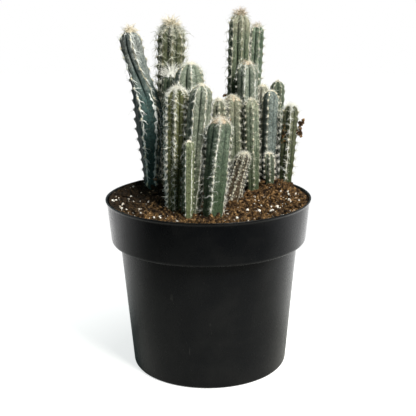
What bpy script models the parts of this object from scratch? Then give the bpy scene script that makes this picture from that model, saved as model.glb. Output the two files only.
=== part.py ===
"""A clump of ribbed torch cacti growing in a black nursery pot.

Metres, +Z up. The origin is the middle of the pot's foot, and the pot stands on z = 0.
The tables below are in millimetres, and MM turns them into metres.
"""
import math
import random
from collections import namedtuple

import bmesh
import bpy
from mathutils import Matrix, Vector, noise

MM = 0.001
GAP = 0.3 * MM

# Pot: one thin plastic moulding with a deep collar, a thin flared lip and a raised, drained base.
RIM_RADIUS = 101.5 * MM
POT_HEIGHT = 171 * MM
WALL = 1.6 * MM
LIP_HEIGHT = 3 * MM
LIP_WIDTH = 1.6 * MM
COLLAR_TOP_RADIUS = 100 * MM
COLLAR_FOOT_RADIUS = 96.4 * MM
COLLAR_FOOT_Z = 128 * MM
BODY_TOP_RADIUS = 88.3 * MM
BODY_FOOT_RADIUS = 77.9 * MM
FOOT_RING_WIDTH = 4 * MM
BASE_RAISE = 3 * MM
POT_SIDES = 40
DRAIN_COUNT = 6
DRAIN_RADIUS = 4.5 * MM
DRAIN_CIRCLE = 55 * MM

# Soil: fills the pot to a few millimetres below its rim, dished a little in the middle, and heaped
# round the stems at the right.
SOIL_FRONT_Z = 164
SOIL_EDGE_RISE = 4
SOIL_BACK_RISE = 2.5
SOIL_SIDE_FALL = 0.75
MOUND_HEIGHT = 16
MOUND_PLACE = (68, 26)
MOUND_SPREAD = 22
LUMP_HEIGHT = 1.2
LUMP_SIZE = 11
SOIL_SIDES = 40
SOIL_RING_RADII = (92, 82, 71, 59, 46, 32, 17)

# Stems: a star of crests and grooves, swollen a little at every other areole, with a domed tip.
RING_SPACING = 11
AREOLE_SWELL = 0.5 * MM
STUMP_DEPTH = 20 * MM
STUMP_SHARE = 0.72
NECK_HEIGHT = 4 * MM
TAPER_LENGTH = 0.25
TWIST_LENGTH = 0.5
DOME_SHARE = 1.15
TIP_SHARE = 0.32
DOME_RINGS = 3

# Spines: three-sided needles with their roots sunk in the crests.
SPINE_LENGTH = 5.5 * MM
SPINE_RADIUS = 0.45 * MM
SPINE_ROOT = 1.6 * MM
ROOT_INSET = 1.1 * MM
SPINE_MARGIN = 0.5 * MM
CROWN_SPINES = 6
RIM_CLEARANCE = 94 * MM
OUTER_LIMIT = 100.5 * MM

# Name, place (x, y), tip (x, y, z), crest radius, ribs, angle of one crest from the front towards
# the right, groove depth share, skin, wool, and the height of the wool and the length of its hairs.
# Then, where a stem isn't like most: height share at full girth, girth share at the foot and at the
# top, height share where it starts to lean, and how far the crests twist down to the foot.
Stem = namedtuple(
    "Stem", "name place tip radius ribs turn groove skin wool tuft hair waist foot top bend twist",
    defaults=(0.4, 0.84, 1, 0, 0),
)
STEMS = (
    Stem("far_left_leaning", (-61.3, 44), (-78, 41, 329), 15, 5, 6, 0.24, "blue", "cream", 5, 5,
         waist=0.48, foot=0.5, top=0.76, bend=0.42, twist=42),
    Stem("back_left_hairy", (-43.4, 64.5), (-38.8, 65, 333.3), 14, 8, 10, 0.2, "green", "cream", 9, 9,
         foot=0.98),
    Stem("left_pale", (-20.9, 6), (-17, 6, 300), 14.2, 7, 10, 0.22, "pale", "cream", 4, 5, waist=0.5),
    Stem("left_white_haired", (-38.5, 26), (-37.2, 28, 289), 9.5, 7, 0, 0.22, "green", "white", 4, 9),
    Stem("front_left_spiny", (-30.8, -28), (-27.5, -22, 280), 10, 7, -6, 0.2, "olive", "cream", 4, 5),
    Stem("front_left", (-15.5, -44), (-4.3, -36, 284), 11, 6, -28, 0.25, "pale", "cream", 3, 5),
    Stem("front_left_low", (-16.8, -58), (-15.2, -57.5, 236), 4.9, 5, 5, 0.22, "olive", "cream", 2, 3),
    Stem("front_middle", (5.4, -56), (12.8, -54, 256), 10.6, 4, 5, 0.26, "green", "tan", 3, 4,
         foot=0.89, twist=-14),
    Stem("middle_slim", (10.1, -16), (11, -16, 268), 7.4, 7, 0, 0.2, "pale", "cream", 3, 4),
    Stem("middle_felted", (25.5, 22), (23.4, 22, 267), 10, 6, -18, 0.22, "pale", "tan", 3, 4),
    Stem("back_tallest", (26.2, 62), (31.3, 62, 345), 11.1, 7, 13, 0.22, "green", "tan", 6, 6),
    Stem("back_slender", (40.8, 74), (48.7, 75, 333), 7.8, 6, 20, 0.22, "green", "tan", 4, 4),
    Stem("right_of_middle", (39, 38), (38.7, 38, 298), 10.7, 6, -18, 0.22, "pale", "tan", 3, 4),
    Stem("right_slim", (44.2, 17.5), (42.1, 16, 264.5), 7.6, 6, 10, 0.2, "pale", "cream", 3, 4),
    Stem("middle_low_corky", (22.2, 2), (35.6, 2, 214), 7.5, 8, 0, 0.18, "cork", "tan", 3, 4,
         waist=0.6, foot=1.3),
    Stem("right_smooth", (60, 38), (62.5, 36, 270.5), 8.1, 4, -20, 0.2, "blue", "cream", 3, 4),
    Stem("right_back_slim", (49.9, 59), (54.8, 59, 273), 6.8, 6, 5, 0.2, "pale", "cream", 3, 4),
    Stem("right_back", (67.5, 55), (69.9, 56, 278), 7.4, 6, 30, 0.2, "green", "cream", 3, 4),
    Stem("right_low", (61.3, 18), (60.2, 15.5, 211), 5.5, 6, 0, 0.2, "green", "cream", 3, 3, waist=0.3),
    Stem("far_right", (77.8, 33), (82.1, 30, 257), 8.2, 5, 0, 0.24, "green", "white", 4, 4),
)

SKIN_COLOURS = {
    "blue": (0.11, 0.19, 0.19),
    "green": (0.12, 0.17, 0.11),
    "pale": (0.22, 0.27, 0.21),
    "olive": (0.17, 0.20, 0.09),
    "cork": (0.21, 0.16, 0.10),
}
WOOL_COLOURS = {
    "cream": (0.62, 0.54, 0.38),
    "white": (0.70, 0.67, 0.58),
    "tan": (0.45, 0.31, 0.18),
}


def material(name, colour, roughness):
    """A plain finish for one kind of piece."""
    finish = bpy.data.materials.new(name)
    finish.use_nodes = True
    shader = finish.node_tree.nodes["Principled BSDF"]
    shader.inputs["Base Color"].default_value = (*colour, 1)
    shader.inputs["Roughness"].default_value = roughness
    shader.inputs["Metallic"].default_value = 0
    return finish


def new_object(name, bm, collection, finish=None, smooth_angle=None):
    """Turns a bmesh into a named object in a collection."""
    mesh = bpy.data.meshes.new(name)
    bm.to_mesh(mesh)
    bm.free()
    if smooth_angle:
        mesh.shade_smooth()
        mesh.set_sharp_from_angle(angle=math.radians(smooth_angle))
    piece = bpy.data.objects.new(name, mesh)
    collection.objects.link(piece)
    if finish:
        mesh.materials.append(finish)
    return piece


def apply_union(piece, parts):
    """Joins a collection of small solids to a piece, then removes them."""
    union = piece.modifiers.new("join", "BOOLEAN")
    union.operation = "UNION"
    union.solver = "EXACT"
    union.operand_type = "COLLECTION"
    union.collection = parts
    view = bpy.context.evaluated_depsgraph_get()
    finish = piece.data.materials[0]
    joined = bpy.data.meshes.new_from_object(piece.evaluated_get(view))
    piece.modifiers.clear()
    old = piece.data
    piece.data = joined
    joined.materials.clear()
    joined.materials.append(finish)
    bpy.data.meshes.remove(old)
    for part in list(parts.objects):
        bpy.data.meshes.remove(part.data)
    bpy.data.collections.remove(parts)


def as_cutter(piece):
    """Keeps a cutter out of the render and shows it as wires."""
    piece.hide_render = True
    piece.display_type = "WIRE"


def ease(share):
    """A soft step from 0 to 1."""
    share = min(max(share, 0), 1)
    return share * share * (3 - 2 * share)


def soil_level(x, y):
    """Height of the soil without its lumps, from a place in metres."""
    x, y = x / MM, y / MM
    reach = math.hypot(x, y) / 95
    level = SOIL_FRONT_Z + SOIL_EDGE_RISE * reach ** 4 - SOIL_SIDE_FALL * x / 95
    level += SOIL_BACK_RISE * ease((y + 30) / 90)
    away = ((x - MOUND_PLACE[0]) ** 2 + (y - MOUND_PLACE[1]) ** 2) / (2 * MOUND_SPREAD ** 2)
    return (level + MOUND_HEIGHT * math.exp(-away) * max(0, 1 - (0.98 * reach) ** 8)) * MM


def soil_surface(x, y):
    """Height of the lumpy soil."""
    lump = noise.noise(Vector((x / MM / LUMP_SIZE, y / MM / LUMP_SIZE, 0.4)))
    return soil_level(x, y) + LUMP_HEIGHT * MM * lump


def pot_inside(z):
    """Radius of the pot's inner wall at a height."""
    if z < COLLAR_FOOT_Z + 2 * WALL:
        share = z / COLLAR_FOOT_Z
        return BODY_FOOT_RADIUS + (BODY_TOP_RADIUS - BODY_FOOT_RADIUS) * share - WALL
    share = (z - COLLAR_FOOT_Z) / (POT_HEIGHT - LIP_HEIGHT - COLLAR_FOOT_Z)
    return COLLAR_FOOT_RADIUS + (COLLAR_TOP_RADIUS - COLLAR_FOOT_RADIUS) * share - WALL


def ground(stem):
    """Height at which a stem leaves the soil: the highest soil round its foot."""
    around = [math.tau * k / 12 for k in range(12)]
    reach = stem.foot * stem.radius * MM
    place = Vector(stem.place) * MM
    return max(soil_level(place.x + reach * math.cos(a), place.y + reach * math.sin(a))
               for a in around) + LUMP_HEIGHT * MM


def height_share(stem, z):
    """How far up the stem a height lies, from 0 at the soil to 1 at the tip."""
    low = ground(stem)
    return min(max((z - low) / (stem.tip[2] * MM - low), 0), 1)


def middle(stem, z):
    """The middle of the stem at a height."""
    share = height_share(stem, z)
    if stem.bend:
        share = ease((share - stem.bend) / (1 - stem.bend))
    return Vector((
        (stem.place[0] + (stem.tip[0] - stem.place[0]) * share) * MM,
        (stem.place[1] + (stem.tip[1] - stem.place[1]) * share) * MM,
        z,
    ))


def dome_height(stem):
    """Height of the domed tip."""
    return DOME_SHARE * stem.top * stem.radius * MM


def shoulder(stem):
    """Height at which the domed tip starts."""
    return stem.tip[2] * MM - dome_height(stem)


def stump_radius(stem):
    """Radius of the stump in the soil, no wider than the foot above it."""
    return STUMP_SHARE * min(stem.foot, 1) * stem.radius * MM


def tuft_radius(stem):
    """Radius of the tuft of wool on the tip."""
    return 0.5 * stem.top * stem.radius * MM


def girth(stem, z):
    """Radius of the crests at a height."""
    share = height_share(stem, z)
    radius = stem.radius * MM
    radius *= stem.foot + (1 - stem.foot) * ease(share / stem.waist)
    radius *= 1 - (1 - stem.top) * ease((share - stem.waist) / TAPER_LENGTH)
    into_dome = (z - shoulder(stem)) / dome_height(stem)
    if into_dome > 0:
        radius *= math.sqrt(1 - (1 - TIP_SHARE ** 2) * min(into_dome, 1) ** 2)
    return radius


def crest_direction(stem, rib, z):
    """Outward direction of a rib at a height, counted from the front towards the right."""
    twist = stem.twist * ease((1 - height_share(stem, z)) / TWIST_LENGTH)
    angle = math.radians(stem.turn + twist) + math.tau * rib / stem.ribs
    return Vector((math.sin(angle), -math.cos(angle), 0))


def ring_heights(stem):
    """Heights of the rings above the neck: evenly up the body, then closer over the dome."""
    low = ground(stem) + NECK_HEIGHT
    high = shoulder(stem)
    steps = max(2, round((high - low) / (RING_SPACING * MM)))
    body = [low + (high - low) * k / steps for k in range(steps + 1)]
    last = math.acos(TIP_SHARE)
    dome = [high + dome_height(stem) * math.sin(last * k / DOME_RINGS) / math.sin(last)
            for k in range(1, DOME_RINGS + 1)]
    return body, dome


def ringed_solid(sides, rings):
    """A closed tube of rings: a capped cylinder is cut into rings, and each point is then placed.

    Each entry of rings gives a point for the angle number of a side.
    """
    bm = bmesh.new()
    bmesh.ops.create_cone(bm, cap_ends=True, segments=sides, radius1=1, radius2=1, depth=1)
    uprights = [e for e in bm.edges if abs(e.verts[0].co.z - e.verts[1].co.z) > 0.5]
    bmesh.ops.subdivide_edges(bm, edges=uprights, cuts=len(rings) - 2, use_grid_fill=True)
    for vert in bm.verts:
        level = round((vert.co.z + 0.5) * (len(rings) - 1))
        side = round(math.atan2(vert.co.x, vert.co.y) / math.tau * sides) % sides
        vert.co = rings[level](side)
    bmesh.ops.recalc_face_normals(bm, faces=bm.faces)
    return bm


def stem_ring(stem, number, z, dome):
    """One ring of crests and grooves, as a function of the side number."""
    centre = middle(stem, z)
    crest = girth(stem, z)
    groove = stem.groove * (0.5 if dome else 1)

    def point(side):
        direction = crest_direction(stem, side / 2, z)
        if side % 2:
            return centre + direction * crest * (1 - groove)
        swell = 0 if dome else AREOLE_SWELL * (1 if (number + side // 2) % 2 else -1)
        return centre + direction * (crest + swell)

    return point


def round_ring(stem, z, radius):
    """One plain ring of the stump in the soil."""
    centre = Vector((stem.place[0] * MM, stem.place[1] * MM, z))
    return lambda side: centre + crest_direction(stem, side / 2, z) * radius


def skin_distance(stem, point):
    """How far a point is from a stem's skin, or above its tip from its tuft of wool."""
    tip = Vector(stem.tip) * MM
    if point.z > tip.z:
        return (point - tip).length - tuft_radius(stem)
    centre = middle(stem, point.z)
    return (point - centre).length - girth(stem, point.z)


def stays_clear(stem, point):
    """True where a spine's point keeps nearer to its own stem than to any other, and off the rest."""
    if point.z < soil_level(point.x, point.y) + (LUMP_HEIGHT + 1) * MM:
        return False
    reach = math.hypot(point.x, point.y)
    if reach > OUTER_LIMIT or (reach > RIM_CLEARANCE and point.z < POT_HEIGHT + 4 * MM):
        return False
    own = max(skin_distance(stem, point), 0)
    return all(skin_distance(other, point) > own + SPINE_MARGIN for other in STEMS if other is not stem)


def add_spine(stem, root, outward, length, sink, collection):
    """Adds one needle, tilted upward until it stays clear, or leaves it out."""
    for rise in (0.25, 0.6, 1.0, 1.6, 2.6):
        direction = (outward + Vector((0, 0, rise))).normalized()
        shares = (0.35, 0.65, 1.0)
        if all(stays_clear(stem, root + direction * length * share) for share in shares):
            break
    else:
        return
    full = length + sink
    turn = direction.to_track_quat("Z", "Y").to_matrix().to_4x4()
    centre = root + direction * (full / 2 - sink)
    bm = bmesh.new()
    bmesh.ops.create_cone(
        bm, cap_ends=True, segments=3, radius1=SPINE_RADIUS, radius2=0, depth=full,
        matrix=Matrix.Translation(centre) @ turn,
    )
    bmesh.ops.remove_doubles(bm, verts=bm.verts, dist=0.01 * MM)
    new_object("spine", bm, collection)


def spine_collection():
    """A collection of its own for the spines of one piece."""
    spines = bpy.data.collections.new("spines")
    bpy.context.scene.collection.children.link(spines)
    return spines


def build_stem(stem, collection, finish):
    """One ribbed column with its stump in the soil and needles on its crests."""
    low = ground(stem)
    body, dome = ring_heights(stem)
    rings = [round_ring(stem, z, stump_radius(stem)) for z in (low - STUMP_DEPTH, low)]
    rings += [stem_ring(stem, number, z, False) for number, z in enumerate(body)]
    rings += [stem_ring(stem, 0, z, True) for z in dome]
    piece = new_object(f"stem_{stem.name}", ringed_solid(2 * stem.ribs, rings), collection, finish)

    draw = random.Random(stem.name)
    spines = spine_collection()
    stride = 2 if stem.ribs % 2 else 3
    if stem.ribs == 6:
        stride = 5
    for number, z in enumerate(body + dome[:-1]):
        rib = (number * stride) % stem.ribs
        outward = crest_direction(stem, rib + draw.uniform(-0.06, 0.06), z)
        root = middle(stem, z) + outward * (girth(stem, z) - ROOT_INSET)
        add_spine(stem, root, outward, SPINE_LENGTH * draw.uniform(0.9, 1.15), SPINE_ROOT, spines)
    apply_union(piece, spines)
    return piece


def build_crown(stem, collection, finish):
    """The tuft of wool on a tip: a low dome with a flat underside and a few stiff hairs."""
    tip = Vector(stem.tip) * MM + Vector((0, 0, GAP))
    radius = tuft_radius(stem)
    height = stem.tuft * MM
    bm = bmesh.new()
    bmesh.ops.create_uvsphere(bm, u_segments=7, v_segments=6, radius=1)
    cut = bmesh.ops.bisect_plane(
        bm, geom=bm.verts[:] + bm.edges[:] + bm.faces[:], plane_co=(0, 0, -0.3), plane_no=(0, 0, -1),
        clear_outer=True,
    )
    rim = [e for e in cut["geom_cut"] if isinstance(e, bmesh.types.BMEdge)]
    bmesh.ops.edgeloop_fill(bm, edges=rim)
    bmesh.ops.translate(bm, verts=bm.verts, vec=(0, 0, 0.3))
    bmesh.ops.scale(bm, verts=bm.verts, vec=(radius, radius, height / 1.3))
    bmesh.ops.translate(bm, verts=bm.verts, vec=tip)
    bmesh.ops.recalc_face_normals(bm, faces=bm.faces)
    piece = new_object(f"crown_{stem.name}", bm, collection, finish)

    draw = random.Random("crown " + stem.name)
    hairs = spine_collection()
    for number in range(CROWN_SPINES):
        angle = math.tau * (number + draw.uniform(-0.2, 0.2)) / CROWN_SPINES
        outward = Vector((math.cos(angle), math.sin(angle), 0))
        lift = draw.uniform(0.35, 0.75)
        root = tip + outward * radius * math.cos(lift) * 0.8 + Vector((0, 0, 0.2 + 0.6 * lift)) * height
        lean = (outward * math.cos(lift) + Vector((0, 0, 2.2 * math.sin(lift)))).normalized()
        add_spine(stem, root, lean, stem.hair * MM * draw.uniform(0.85, 1.15), height / 4, hairs)
    apply_union(piece, hairs)
    return piece


def pot_profile():
    """The pot's section: from the middle of the inner floor, up, over the lip, down and back under."""
    lip_foot = POT_HEIGHT - LIP_HEIGHT
    floor = BASE_RAISE + WALL
    step = COLLAR_FOOT_Z + WALL
    return [
        (0, floor),
        (pot_inside(floor) - 1 * MM, floor),
        (pot_inside(floor) + 0.1 * MM, floor + 1.5 * MM),
        (BODY_TOP_RADIUS - WALL, step),
        (COLLAR_FOOT_RADIUS - WALL - 1.5 * MM, step + 0.3 * MM),
        (pot_inside(step + 3 * MM), step + 3 * MM),
        (pot_inside(lip_foot), lip_foot),
        (RIM_RADIUS - LIP_WIDTH, POT_HEIGHT),
        (RIM_RADIUS - 0.4 * MM, POT_HEIGHT),
        (RIM_RADIUS, POT_HEIGHT - 0.5 * MM),
        (RIM_RADIUS - 0.2 * MM, POT_HEIGHT - 1.2 * MM),
        (COLLAR_TOP_RADIUS + 0.4 * MM, lip_foot + 0.6 * MM),
        (COLLAR_TOP_RADIUS, lip_foot - 0.6 * MM),
        (COLLAR_FOOT_RADIUS, COLLAR_FOOT_Z + 3.2 * MM),
        (COLLAR_FOOT_RADIUS - 0.9 * MM, COLLAR_FOOT_Z + 0.9 * MM),
        (COLLAR_FOOT_RADIUS - 3.2 * MM, COLLAR_FOOT_Z),
        (BODY_TOP_RADIUS, COLLAR_FOOT_Z - 0.4 * MM),
        (BODY_FOOT_RADIUS, 1.6 * MM),
        (BODY_FOOT_RADIUS - 1 * MM, 0),
        (BODY_FOOT_RADIUS - FOOT_RING_WIDTH, 0),
        (BODY_FOOT_RADIUS - FOOT_RING_WIDTH - 0.8 * MM, BASE_RAISE),
        (0, BASE_RAISE),
    ]


def build_pot(collection, cutters, finish):
    """The turned pot, with drain holes through its raised base."""
    bm = bmesh.new()
    points = [bm.verts.new((radius, 0, z)) for radius, z in pot_profile()]
    for one, other in zip(points, points[1:]):
        bm.edges.new((one, other))
    pot = new_object("pot", bm, collection, finish)
    turned = pot.modifiers.new("turned", "SCREW")
    turned.steps = POT_SIDES
    turned.render_steps = POT_SIDES
    turned.use_merge_vertices = True
    turned.merge_threshold = 0.01 * MM
    turned.use_normal_calculate = True
    for number in range(DRAIN_COUNT):
        angle = math.tau * (number + 0.5) / DRAIN_COUNT
        bm = bmesh.new()
        bmesh.ops.create_cone(
            bm, cap_ends=True, segments=12, radius1=DRAIN_RADIUS, radius2=DRAIN_RADIUS, depth=6 * WALL,
            matrix=Matrix.Translation((
                DRAIN_CIRCLE * math.cos(angle), DRAIN_CIRCLE * math.sin(angle), BASE_RAISE + WALL / 2,
            )),
        )
        as_cutter(new_object(f"drain_{number + 1}", bm, cutters["drains"]))
    drains = pot.modifiers.new("drain holes", "BOOLEAN")
    drains.operation = "DIFFERENCE"
    drains.operand_type = "COLLECTION"
    drains.collection = cutters["drains"]
    drains.solver = "EXACT"
    return pot


def soil_wall_ring(z, inset):
    """One ring of the soil against the pot's wall."""
    radius = pot_inside(z) - GAP / math.cos(math.pi / SOIL_SIDES) - inset

    def point(side):
        angle = math.tau * side / SOIL_SIDES
        return Vector((radius * math.cos(angle), radius * math.sin(angle), z))

    return point


def soil_top_ring(radius):
    """One ring of the lumpy surface; the outermost follows the pot's wall."""
    def point(side):
        angle = math.tau * side / SOIL_SIDES
        x, y = radius * math.cos(angle), radius * math.sin(angle)
        return Vector((x, y, soil_surface(x, y)))

    return point


def soil_edge_ring():
    """The ring where the surface meets the pot's wall."""
    def point(side):
        angle = math.tau * side / SOIL_SIDES
        z = soil_surface(95 * MM * math.cos(angle), 95 * MM * math.sin(angle)) - 0.5 * MM
        radius = pot_inside(z) - GAP / math.cos(math.pi / SOIL_SIDES)
        return Vector((radius * math.cos(angle), radius * math.sin(angle), z))

    return point


def build_soil(collection, cutters, finish):
    """The body of soil, with a plain hole for each stem's stump."""
    floor = BASE_RAISE + WALL + GAP
    step = COLLAR_FOOT_Z + WALL
    rings = [
        soil_wall_ring(floor, 2 * MM),
        soil_wall_ring(floor + 2 * MM, 0.2 * MM),
        soil_wall_ring(step + GAP, 0.6 * MM),
        soil_wall_ring(step + 4.5 * MM, 0.2 * MM),
        soil_edge_ring(),
    ]
    rings += [soil_top_ring(radius * MM) for radius in SOIL_RING_RADII]
    soil = new_object("soil", ringed_solid(SOIL_SIDES, rings), collection, finish)
    for stem in STEMS:
        radius = (stump_radius(stem) + GAP) / math.cos(math.pi / 12)
        depth = STUMP_DEPTH + GAP
        bm = bmesh.new()
        bmesh.ops.create_cone(
            bm, cap_ends=True, segments=12, radius1=radius, radius2=radius, depth=2 * depth,
            matrix=Matrix.Translation((stem.place[0] * MM, stem.place[1] * MM, ground(stem))),
        )
        as_cutter(new_object(f"hole_{stem.name}", bm, cutters["holes"]))
    holes = soil.modifiers.new("stump holes", "BOOLEAN")
    holes.operation = "DIFFERENCE"
    holes.operand_type = "COLLECTION"
    holes.collection = cutters["holes"]
    holes.solver = "EXACT"
    return soil


def main():
    for old in list(bpy.data.objects):
        bpy.data.objects.remove(old, do_unlink=True)
    scene = bpy.context.scene
    plant = bpy.data.collections.new("potted_torch_cactus")
    scene.collection.children.link(plant)
    cutters = {}
    all_cutters = bpy.data.collections.new("cutters")
    scene.collection.children.link(all_cutters)
    for name in ("drains", "holes"):
        cutters[name] = bpy.data.collections.new(name)
        all_cutters.children.link(cutters[name])

    plastic = material("black plastic", (0.012, 0.013, 0.014), 0.42)
    earth = material("gritty soil", (0.07, 0.045, 0.03), 0.95)
    skins = {name: material(f"{name} skin", colour, 0.6) for name, colour in SKIN_COLOURS.items()}
    wools = {name: material(f"{name} wool", colour, 0.95) for name, colour in WOOL_COLOURS.items()}

    build_pot(plant, cutters, plastic)
    build_soil(plant, cutters, earth)
    for stem in STEMS:
        build_stem(stem, plant, skins[stem.skin])
        build_crown(stem, plant, wools[stem.wool])


main()
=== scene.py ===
"""Looks of a clump of torch cacti in a black nursery pot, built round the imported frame.

Everything is in metres, +Z up, with the pot standing on z = 0 and its front towards -Y.
"""
import bisect
import math
import random

import bmesh
import bpy
from mathutils import Matrix, Vector, noise


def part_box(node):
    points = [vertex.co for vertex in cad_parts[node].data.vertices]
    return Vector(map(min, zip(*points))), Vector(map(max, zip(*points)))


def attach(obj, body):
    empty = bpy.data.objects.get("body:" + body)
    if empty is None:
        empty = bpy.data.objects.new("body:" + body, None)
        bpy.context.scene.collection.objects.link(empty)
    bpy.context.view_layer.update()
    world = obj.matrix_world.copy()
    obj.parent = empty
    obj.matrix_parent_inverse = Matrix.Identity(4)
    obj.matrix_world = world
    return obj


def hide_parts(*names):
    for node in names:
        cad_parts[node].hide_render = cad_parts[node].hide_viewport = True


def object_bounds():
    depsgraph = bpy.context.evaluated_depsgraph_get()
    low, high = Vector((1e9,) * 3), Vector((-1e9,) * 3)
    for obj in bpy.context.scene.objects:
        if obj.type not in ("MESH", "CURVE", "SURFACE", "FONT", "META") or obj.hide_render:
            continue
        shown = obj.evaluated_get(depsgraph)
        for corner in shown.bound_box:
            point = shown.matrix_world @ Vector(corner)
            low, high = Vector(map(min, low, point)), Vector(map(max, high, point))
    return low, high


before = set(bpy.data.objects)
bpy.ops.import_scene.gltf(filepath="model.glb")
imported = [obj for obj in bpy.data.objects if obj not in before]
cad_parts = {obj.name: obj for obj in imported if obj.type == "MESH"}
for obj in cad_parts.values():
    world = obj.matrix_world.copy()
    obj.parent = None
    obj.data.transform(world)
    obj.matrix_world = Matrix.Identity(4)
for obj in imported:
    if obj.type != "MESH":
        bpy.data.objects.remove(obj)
cad_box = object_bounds()

# Nursery pot
# One thin injection moulding in black polypropylene: a flared lip, a deep collar that gives
# the hands a hold, a tapered body, and a base raised on a foot ring with drain holes.
MM = 0.001
pot_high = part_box("pot")[1]
RIM_RADIUS = pot_high[0]
POT_HEIGHT = pot_high[2]
WALL = 1.6 * MM
LIP_FOOT_Z = POT_HEIGHT - 3 * MM
LIP_WIDTH = 1.6 * MM
COLLAR_TOP_RADIUS = 100 * MM
COLLAR_FOOT_RADIUS = 96.4 * MM
COLLAR_FOOT_Z = 128 * MM
BODY_TOP_RADIUS = 88.3 * MM
BODY_FOOT_RADIUS = 77.9 * MM
FOOT_RING_WIDTH = 4 * MM
BASE_RAISE = 3 * MM
POT_STEPS = 128
DRAIN_COUNT = 6
DRAIN_RADIUS = 4.5 * MM
DRAIN_CIRCLE = 55 * MM


def pot_inside(z):
    """Radius of the pot's inner wall at a height."""
    if z < COLLAR_FOOT_Z + 2 * WALL:
        share = z / COLLAR_FOOT_Z
        return BODY_FOOT_RADIUS + (BODY_TOP_RADIUS - BODY_FOOT_RADIUS) * share - WALL
    share = (z - COLLAR_FOOT_Z) / (LIP_FOOT_Z - COLLAR_FOOT_Z)
    return COLLAR_FOOT_RADIUS + (COLLAR_TOP_RADIUS - COLLAR_FOOT_RADIUS) * share - WALL


def rounded(corners, steps=4):
    """A profile with each corner (radius, height, rounding) turned into a short curve."""
    points = []
    for index, (radius, z, rounding) in enumerate(corners):
        corner = Vector((radius, z))
        if rounding == 0:
            points.append(corner)
            continue
        before = (Vector(corners[index - 1][:2]) - corner).normalized() * rounding
        after = (Vector(corners[index + 1][:2]) - corner).normalized() * rounding
        for step in range(steps + 1):
            share = step / steps
            points.append(corner + before * (1 - share) ** 2 + after * share ** 2)
    return points


def spun(profile, steps):
    """A turned solid from a profile that starts and ends on the axis."""
    bm = bmesh.new()
    verts = [bm.verts.new((point[0], 0, point[1])) for point in profile]
    edges = [bm.edges.new(pair) for pair in zip(verts, verts[1:])]
    bmesh.ops.spin(bm, geom=verts + edges, cent=(0, 0, 0), axis=(0, 0, 1), angle=math.tau,
                   steps=steps, use_merge=True)
    bmesh.ops.remove_doubles(bm, verts=bm.verts, dist=0.01 * MM)
    bmesh.ops.recalc_face_normals(bm, faces=bm.faces)
    return bm


def kept_mesh(name, bm):
    """Turns a bmesh into a mesh and frees it."""
    mesh = bpy.data.meshes.new(name)
    bm.to_mesh(mesh)
    bm.free()
    return mesh


def in_scene(name, data):
    """Puts a mesh, a camera or a light in the scene."""
    item = bpy.data.objects.new(name, data)
    bpy.context.scene.collection.objects.link(item)
    return item


def make_piece(name, bm, finish, smooth_angle=None):
    """Turns a bmesh into a named piece with its finish, riding on the one body."""
    mesh = kept_mesh(name, bm)
    mesh.materials.append(finish)
    if smooth_angle:
        mesh.shade_smooth()
        mesh.set_sharp_from_angle(angle=math.radians(smooth_angle))
    piece = in_scene(name, mesh)
    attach(piece, "root")
    return piece


def new_material(name, roughness, specular):
    """A material, its node tree and its shader."""
    finish = bpy.data.materials.new(name)
    finish.use_nodes = True
    tree = finish.node_tree
    shader = tree.nodes["Principled BSDF"]
    shader.inputs["Roughness"].default_value = roughness
    shader.inputs["Specular IOR Level"].default_value = specular
    return finish, tree, shader


def add_node(tree, kind, **inputs):
    """Adds a node and sets its inputs by name."""
    node = tree.nodes.new(kind)
    for name, value in inputs.items():
        node.inputs[name.replace("_", " ")].default_value = value
    return node


def noise_at(tree, scale, detail=3.0, roughness=0.55, stretch=(1, 1, 1)):
    """Noise on the object's own coordinates, in features per metre."""
    place = tree.nodes.new("ShaderNodeTexCoord")
    mapping = add_node(tree, "ShaderNodeMapping", Scale=stretch)
    tree.links.new(place.outputs["Object"], mapping.inputs["Vector"])
    texture = add_node(tree, "ShaderNodeTexNoise", Scale=scale, Detail=detail, Roughness=roughness)
    tree.links.new(mapping.outputs["Vector"], texture.inputs["Vector"])
    return texture.outputs["Fac"]


def feed(tree, socket, value):
    """Gives a socket a value, from another socket or as a plain number or colour."""
    if isinstance(value, bpy.types.NodeSocket):
        tree.links.new(value, socket)
    else:
        socket.default_value = (*value, 1) if isinstance(value, tuple) else value


def mixed(tree, share, one, other):
    """Mixes two colours by a share."""
    node = tree.nodes.new("ShaderNodeMix")
    node.data_type = "RGBA"
    for number, value in ((0, share), (6, one), (7, other)):
        feed(tree, node.inputs[number], value)
    return node.outputs[2]


def ranged(tree, value, low, high, to_low=0.0, to_high=1.0):
    """A value's range stretched to another, and clamped."""
    node = add_node(tree, "ShaderNodeMapRange", From_Min=low, From_Max=high, To_Min=to_low, To_Max=to_high)
    tree.links.new(value, node.inputs["Value"])
    return node.outputs["Result"]


def maths(tree, operation, one, other):
    """A Math node on two values."""
    node = tree.nodes.new("ShaderNodeMath")
    node.operation = operation
    feed(tree, node.inputs[0], one)
    feed(tree, node.inputs[1], other)
    return node.outputs["Value"]


def bump(tree, shader, height, distance, strength=1.0):
    """Feeds a height to the shader's normal."""
    node = add_node(tree, "ShaderNodeBump", Strength=strength, Distance=distance)
    tree.links.new(height, node.inputs["Height"])
    tree.links.new(node.outputs["Normal"], shader.inputs["Normal"])


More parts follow.
